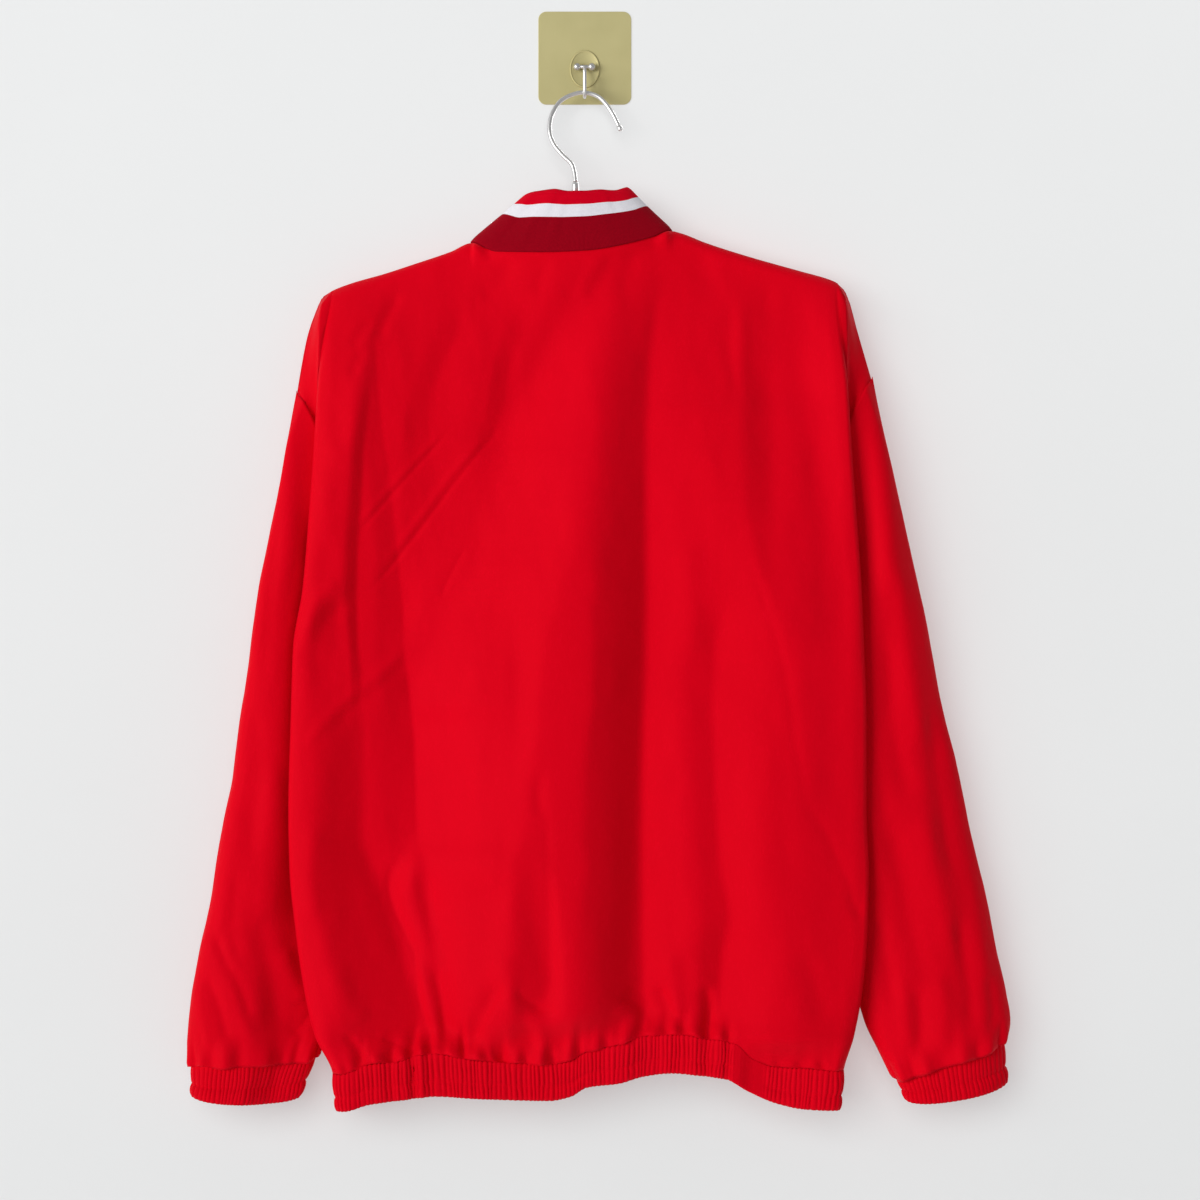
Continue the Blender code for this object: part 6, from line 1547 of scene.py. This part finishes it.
def zip_parts():
    ob = ribbon("zip_tapes", ZP, [-13, -12.2, -9, -6, -3.4, -1.2, -0.4, 0.4, 1.2, 3.4, 6, 9, 12.2, 13],
                [-3.3, -3.0, -3.0, -3.0, -3.0, -2.95, -3.2, -3.2, -2.95, -3.0, -3.0, -3.0, -3.0, -3.3], TAPE, 0.7)
    # coil: one rounded bar for each turn, left and right in turn
    t, v = zip_frames(ZP)
    lens = np.concatenate([[0], np.cumsum(np.linalg.norm(np.diff(ZP, axis=0), axis=1))])
    pitch = 1.5
    count = int((lens[-1] - 2.0) / pitch)
    s = 1.0 + np.arange(count) * pitch
    P = np.stack([np.interp(s, lens, ZP[:, k]) for k in range(3)], -1)
    V = np.stack([np.interp(s, lens, v[:, k]) for k in range(3)], -1)
    Tn = np.stack([np.interp(s, lens, t[:, k]) for k in range(3)], -1)
    side = np.array([1.0, 0, 0])
    # section of a bar in (along, out), and its stations across
    sec = [(math.cos(a) * 0.62, math.sin(a) * 0.75) for a in [2 * math.pi * k / 6 for k in range(6)]]
    verts, faces = [], []
    for i in range(count):
        sign = 1 if i % 2 else -1
        stations = [(2.75, 0.55, 0.0), (2.45, 1.0, 0.0), (0.6, 1.0, 0.25), (-0.9, 0.95, 0.2), (-1.25, 0.5, 0.0)]
        base = len(verts)
        for x, scale, up in stations:
            for a, b in sec:
                verts.append(P[i] + side * x * sign + Tn[i] * a * scale + V[i] * (-1.75 + up + b * scale))
        for q in range(len(stations) - 1):
            for k in range(6):
                a0, b0 = base + q * 6 + k, base + q * 6 + (k + 1) % 6
                faces.append((a0, b0, b0 + 6, a0 + 6))
        faces.append(tuple(base + k for k in range(6)))
        faces.append(tuple(base + (len(stations) - 1) * 6 + k for k in range(6)))
    coil = mesh_piece("zip_coil_turns", verts, faces, COIL)
    fix_normals(coil)
    return ob, coil


tapes, coil = zip_parts()
put(tapes, "zip_tape", "zip")
put(coil, "zip_tape", "zip")


def rounded_box(name, lo, hi, bevel, mat, segments=3):
    me = bpy.data.meshes.new(name)
    bm = bmesh.new()
    bmesh.ops.create_cube(bm, size=1.0)
    for v in bm.verts:
        v.co = Vector([(lo[k] + hi[k]) / 2 * MM + v.co[k] * (hi[k] - lo[k]) * MM for k in range(3)])
    bmesh.ops.bevel(bm, geom=bm.edges[:], offset=bevel * MM, segments=segments, profile=0.5, affect="EDGES")
    bm.to_mesh(me)
    bm.free()
    me.materials.append(mat)
    me.polygons.foreach_set("use_smooth", np.ones(len(me.polygons), bool))
    ob = link(bpy.data.objects.new(name, me))
    ob.data.set_sharp_from_angle(angle=math.radians(50))
    return ob


# the slider: two plates, a post between them and the arch that holds the tab
s_lo, s_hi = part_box("zip_slider")
s_lo, s_hi = [v / MM for v in s_lo], [v / MM for v in s_hi]
sx = (s_lo[0] + s_hi[0]) / 2
s_top, s_bot = s_hi[2], s_lo[2]
y_out = s_hi[1]
body_out = y_out - 3.2


def slider():
    parts = []
    # outline of a plate, wide at its head and narrower at its tail
    def plate(name, y0, y1):
        out = []
        for k in range(25):
            t = k / 24
            w = 3.6 - 1.0 * step((t - 0.35) / 0.65)
            out.append((w, s_top - t * (s_top - s_bot)))
        outline = [(x, z) for x, z in out] + [(-x, z) for x, z in out[::-1]]
        n = len(outline)
        verts = [(sx + x, y0, z) for x, z in outline] + [(sx + x, y1, z) for x, z in outline]
        faces = [tuple(range(n)), tuple(range(n, 2 * n))] + [(i, (i + 1) % n, n + (i + 1) % n, n + i) for i in range(n)]
        ob = mesh_piece(name, verts, faces, ZIP_METAL, smooth=False)
        fix_normals(ob)
        bev = ob.modifiers.new("edge", "BEVEL")
        bev.width = 0.35 * MM
        bev.segments = 3
        bev.limit_method = "ANGLE"
        bev.angle_limit = math.radians(50)
        return ob
    parts.append(plate("zip_slider_face", body_out - 1.35, body_out))
    parts.append(plate("zip_slider_rear", body_out - 6.2, body_out - 5.2))
    parts.append(rounded_box("zip_slider_post", (sx - 0.9, body_out - 5.4, s_top - 4.0), (sx + 0.9, body_out - 1.2, s_top - 1.0), 0.3, ZIP_METAL))
    # arch over the tab's bar
    path = [(sx, body_out - 0.5, s_top - 3.1), (sx, body_out + 1.6, s_top - 3.2), (sx, body_out + 2.75, s_top - 4.6),
            (sx, body_out + 2.8, s_top - 7.0), (sx, body_out + 2.75, s_top - 9.4), (sx, body_out + 1.6, s_top - 10.8),
            (sx, body_out - 0.5, s_top - 10.9)]
    arch = tube("zip_slider_arch", smooth_path(path, 6), 0.5, 12, ZIP_METAL, frames=(1, 0, 0))
    parts.append(arch)
    return parts


for p in slider():
    put(p, "zip_metal", "zip_slider")


def pull_tab():
    """Flat tab with a bar that turns in the arch; a hole and a rounded tip."""
    lo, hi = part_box("zip_pull")
    lo, hi = [v / MM for v in lo], [v / MM for v in hi]
    x0, x1, y0, y1, z0, z1 = lo[0], hi[0], lo[1], hi[1], lo[2], hi[2]
    cx, w = (x0 + x1) / 2, (x1 - x0) / 2
    bar_z = z1 - 0.7
    outline = []
    for k in range(13):            # rounded lower end
        a = math.pi * k / 12
        outline.append((w * math.cos(a), z0 + w * 0.62 - w * 0.62 * math.sin(a)))
    top = [(-w, z1 - 1.2), (-w + 0.7, z1 - 0.35), (w - 0.7, z1 - 0.35), (w, z1 - 1.2)]
    loop = outline + top
    hole = [(-1.9, bar_z - 0.75), (1.9, bar_z - 0.75), (2.0, bar_z - 4.0), (1.2, bar_z - 4.7), (-1.2, bar_z - 4.7), (-2.0, bar_z - 4.0)]
    me = bpy.data.meshes.new("zip_tab")
    bm = bmesh.new()
    outer_v = [bm.verts.new(((cx + x) * MM, y0 * MM, z * MM)) for x, z in loop]
    hole_v = [bm.verts.new(((cx + x) * MM, y0 * MM, z * MM)) for x, z in hole]
    edges = []
    for ring in (outer_v, hole_v):
        for i in range(len(ring)):
            edges.append(bm.edges.new((ring[i], ring[(i + 1) % len(ring)])))
    bmesh.ops.triangle_fill(bm, use_beauty=True, use_dissolve=False, edges=edges)
    ext = bmesh.ops.extrude_face_region(bm, geom=bm.faces[:])
    for v in ext["geom"]:
        if isinstance(v, bmesh.types.BMVert):
            v.co.y = y1 * MM
    bmesh.ops.recalc_face_normals(bm, faces=bm.faces)
    bm.to_mesh(me)
    bm.free()
    me.materials.append(ZIP_METAL)
    ob = link(bpy.data.objects.new("zip_tab", me))
    bev = ob.modifiers.new("edge", "BEVEL")
    bev.width = 0.28 * MM
    bev.segments = 3
    bev.limit_method = "ANGLE"
    bev.angle_limit = math.radians(50)
    return ob


tab = pull_tab()
put(tab, "zip_metal", "zip_pull", body=TAB)


# ------------------------------------------------------------- hanger, hook
HANGER = [
    (-213, -213.6, 5.0), (-206, -210.6, 6.8), (-172, -201.6, 7.5), (-97, -177.8, 8.0),
    (-40, -159.0, 8.5), (-8, -149.0, 9.0), (30, -155.0, 8.5), (74, -168.0, 8.0),
    (142, -188.0, 7.5), (200, -203.0, 6.8), (207, -205.4, 5.0),
]
HOOK = [
    (-8, -111), (-8.8, -103), (-11.5, -95), (-19.5, -87), (-26.5, -78),
    (-30, -68.5), (-30, -58), (-27, -48.5), (-21, -39.8), (-12, -34.3),
    (-1.5, -31.9), (9, -34.3), (16, -39.5), (23.5, -50), (31, -65.3),
]
WIRE = 1.9


def hanger_pieces():
    xs, zs, hs = col(HANGER, 0), col(HANGER, 1), col(HANGER, 2)
    x = np.concatenate([[-214.4, -213.6], np.linspace(-213, 207, 150), [207.6, 208.3]])
    z = np.interp(x, xs, zs)
    k = np.ones(7) / 7
    z = np.convolve(np.pad(z, 3, mode="edge"), k, mode="valid")
    h = follow(x, xs, hs)
    h[0], h[1], h[-2], h[-1] = 1.2, 3.6, 3.6, 1.2
    d = np.minimum(5.6, h * 0.86)
    path = np.stack([x, np.full_like(x, SEAM_Y), z], -1)
    t = unit(np.gradient(path, axis=0))
    u = np.tile(np.array([0.0, 1, 0]), (len(x), 1))
    v = np.cross(t, u)
    sides = 24
    a = 2 * math.pi * np.arange(sides) / sides
    ce = np.copysign(np.abs(np.cos(a)) ** 0.8, np.cos(a))
    se = np.copysign(np.abs(np.sin(a)) ** 0.8, np.sin(a))
    pts = path[:, None] + u[:, None] * (d[:, None] * ce[None])[..., None] * 0.97 + v[:, None] * (h[:, None] * se[None])[..., None] * 0.97
    faces = grid_faces(len(x), sides, True) + [list(range(sides)), [(len(x) - 1) * sides + k for k in range(sides)]]
    arms = mesh_piece("hanger_arms", pts.reshape(-1, 3), faces, WOOD)
    fix_normals(arms)
    put(arms, "hanger_body", "hanger")

    pts = [(x, -17.0 - 17.0 * (-31.9 - z) / 80.0 if z < -31.9 else -17.0, z) for x, z in HOOK]
    wire = smooth_path(pts, 8)
    hook = tube("hanger_wire", wire, WIRE * 0.985, 20, STEEL)
    tip = wire[-1]
    d = unit(wire[-1] - wire[-2])
    cap_path = [tip - d * 4.2, tip - d * 4.0, tip - d * 0.6, tip + d * 0.1, tip + d * 0.55, tip + d * 0.8]
    cap = tube("hanger_wire_cap", cap_path, [1.95, 2.25, 2.25, 2.0, 1.3, 0.3], 20, STEEL)
    put(hook, "steel", "hanger_hook")
    put(cap, "steel", "hanger_hook")
    rows = [(-139.6, 2.7), (-139.2, 3.05), (-124.0, 3.05), (-123.6, 2.8), (-122.8, 2.8), (-122.4, 3.05), (-113.6, 3.05),
            (-112.8, 2.85), (-111.6, 2.3), (-111.3, 1.6)]
    low = tube("hanger_socket", [(-8, SEAM_Y, z) for z, r in rows], [r for z, r in rows], 28, STEEL)
    put(low, "steel", "ferrule")


hanger_pieces()


def wall_pieces():
    half, corner = 80.6 / 2, 7.0
    me = bpy.data.meshes.new("plate")
    pts = []
    h = half - corner
    for cx, cz, a0 in ((h, h, 0), (-h, h, 90), (-h, -h, 180), (h, -h, 270)):
        for k in range(9):
            a = math.radians(a0 + 11.25 * k)
            pts.append((cx + corner * math.cos(a), cz + corner * math.sin(a)))
    n = len(pts)
    verts = [(a, -0.05, b) for a, b in pts] + [(a, -1.5, b) for a, b in pts]
    faces = [tuple(range(n)), tuple(range(n, 2 * n))] + [(i, (i + 1) % n, n + (i + 1) % n, n + i) for i in range(n)]
    plate = mesh_piece("wall_plate_face", verts, faces, GOLD, smooth=False)
    fix_normals(plate)
    bev = plate.modifiers.new("edge", "BEVEL")
    bev.width = 0.35 * MM
    bev.segments = 3
    bev.limit_method = "ANGLE"
    bev.angle_limit = math.radians(60)
    put(plate, "plate", "wall_plate")

    # oval boss: raised rim round a shallow dish
    rings = []
    m = 64
    a = 2 * math.pi * np.arange(m) / m
    for scale, y in ((1.0, -1.75), (1.0, -2.3), (0.985, -2.65), (0.955, -2.85), (0.92, -2.7), (0.895, -2.3), (0.87, -2.15), (0.3, -2.1)):
        rings.append(np.stack([13.0 * scale * np.cos(a), np.full(m, y), -9.6 + 16.4 * scale * np.sin(a)], -1))
    rings = np.array(rings)
    faces = grid_faces(len(rings), m, True) + [list(range(m)), [(len(rings) - 1) * m + k for k in range(m)]]
    boss = mesh_piece("oval_boss", rings.reshape(-1, 3), faces, GOLD)
    fix_normals(boss)
    put(boss, "plate", "hook_boss")

    route = [(-6.6, -9.5), (-10.2, -14), (-11.5, -22), (-11.8, -30), (-13.6, -34.4),
             (-17.2, -36.0), (-20.8, -34.4), (-22.6, -30), (-22.9, -22), (-22.6, -13)]
    rod = smooth_path([(0.0, y, z) for y, z in route], 8)
    hook = tube("wall_hook_rod", rod, 1.58, 20, STEEL, frames=(1, 0, 0))
    tip = rod[-1]
    d = unit(rod[-1] - rod[-2])
    end = tube("wall_hook_tip", [tip - d * 0.2, tip + d * 0.6, tip + d * 1.1, tip + d * 1.35], [1.58, 1.4, 0.9, 0.2], 20, STEEL, frames=(1, 0, 0))
    pin = tube("wall_hook_pin", [(-6.6, -6.6, -8.3), (0, -6.6, -8.3), (6.0, -6.6, -8.3)], 1.68, 20, STEEL, frames=(0, 0, 1))
    balls = []
    for name, x in (("wall_hook_knob_left", -6.6), ("wall_hook_knob_right", 6.0)):
        me = bpy.data.meshes.new(name)
        bm = bmesh.new()
        bmesh.ops.create_uvsphere(bm, u_segments=28, v_segments=18, radius=3.38 * MM)
        bmesh.ops.translate(bm, verts=bm.verts, vec=(x * MM, -6.6 * MM, -8.3 * MM))
        bm.to_mesh(me)
        bm.free()
        me.materials.append(STEEL)
        me.polygons.foreach_set("use_smooth", np.ones(len(me.polygons), bool))
        balls.append(link(bpy.data.objects.new(name, me)))
    for p in (hook, end, pin, *balls):
        put(p, "steel", "wall_hook")


wall_pieces()

# ------------------------------------------------------------- room, camera
def plane(name, corners, mat):
    me = bpy.data.meshes.new(name)
    me.from_pydata(corners, [], [(0, 1, 2, 3)])
    me.materials.append(mat)
    ob = link(bpy.data.objects.new(name, me))
    return ob


WALL = wall_paint("wall_paint", (0.30, 0.302, 0.302), (0.306, 0.308, 0.308), True)
FLOOR = wall_paint("floor_paint", (0.78, 0.78, 0.775), (0.79, 0.79, 0.785), False)
plane("wall", [(-1.6, 0.0, -1.6), (1.6, 0.0, -1.6), (1.6, 0.0, 0.9), (-1.6, 0.0, 0.9)], WALL)
plane("floor", [(-4, -5, -1.6), (4, -5, -1.6), (4, 4, -1.6), (-4, 4, -1.6)], FLOOR)

cam_data = bpy.data.cameras.new("camera")
cam_data.sensor_width = 36.0
cam_data.lens = 110.65
cam_data.clip_end = 50.0
cam = link(bpy.data.objects.new("camera", cam_data))
cam.location = (0.0132, -3.2, -0.470)
cam.rotation_euler = (math.radians(90), 0, 0)
bpy.context.scene.camera = cam


def area_light(name, place, aim, size, power, colour=(1, 1, 1)):
    data = bpy.data.lights.new(name, "AREA")
    data.shape = "RECTANGLE"
    data.size, data.size_y = size
    data.energy = power
    data.color = colour
    ob = link(bpy.data.objects.new(name, data))
    ob.location = place
    ob.rotation_mode = "QUATERNION"
    ob.rotation_quaternion = (Vector(aim) - Vector(place)).to_track_quat("-Z", "Y")
    return ob


def sun(name, toward, strength, angle, colour=(1, 1, 1)):
    data = bpy.data.lights.new(name, "SUN")
    data.energy = strength
    data.angle = math.radians(angle)
    data.color = colour
    ob = link(bpy.data.objects.new(name, data))
    ob.rotation_mode = "QUATERNION"
    ob.rotation_quaternion = Vector(toward).to_track_quat("-Z", "Y")
    return ob


def linked(light, others, state, what="receiver_collection"):
    """Which pieces a lamp reaches, or which ones stand in its way."""
    group = bpy.data.collections.new(light.name + "_" + what)
    for ob in others:
        group.objects.link(ob)
    for entry in group.collection_objects:
        entry.light_linking.link_state = state
    setattr(light.light_linking, what, group)


room = [bpy.data.objects["wall"], bpy.data.objects["floor"]]
key = sun("key", (math.sin(math.radians(45)), math.cos(math.radians(45)), -0.04), 2.37, 34.0)
linked(key, room, "EXCLUDE")
wash = sun("wash", (0.28, 1.0, -0.10), 3.75, 55.0)
linked(wash, room, "INCLUDE")
daylight = area_light("daylight", (-2.6, -2.2, 0.2), (-0.4, 0.0, -0.4), (1.5, 1.5), 22.0)
linked(daylight, room, "INCLUDE")
# the hidden side is lit too, for looks from behind
behind = area_light("behind", (1.1, 2.8, 0.4), (0.0, 0.0, -0.5), (1.2, 1.2), 56.0)
linked(behind, room + [back], "EXCLUDE")
linked(behind, room, "EXCLUDE", "blocker_collection")

world = bpy.data.worlds.new("room")
bpy.context.scene.world = world
world.use_nodes = True
world.node_tree.nodes["Background"].inputs["Color"].default_value = (0.97, 0.98, 1.0, 1)
world.node_tree.nodes["Background"].inputs["Strength"].default_value = 0.37
bpy.context.scene.view_settings.view_transform = "Standard"
bpy.context.scene.view_settings.look = "None"
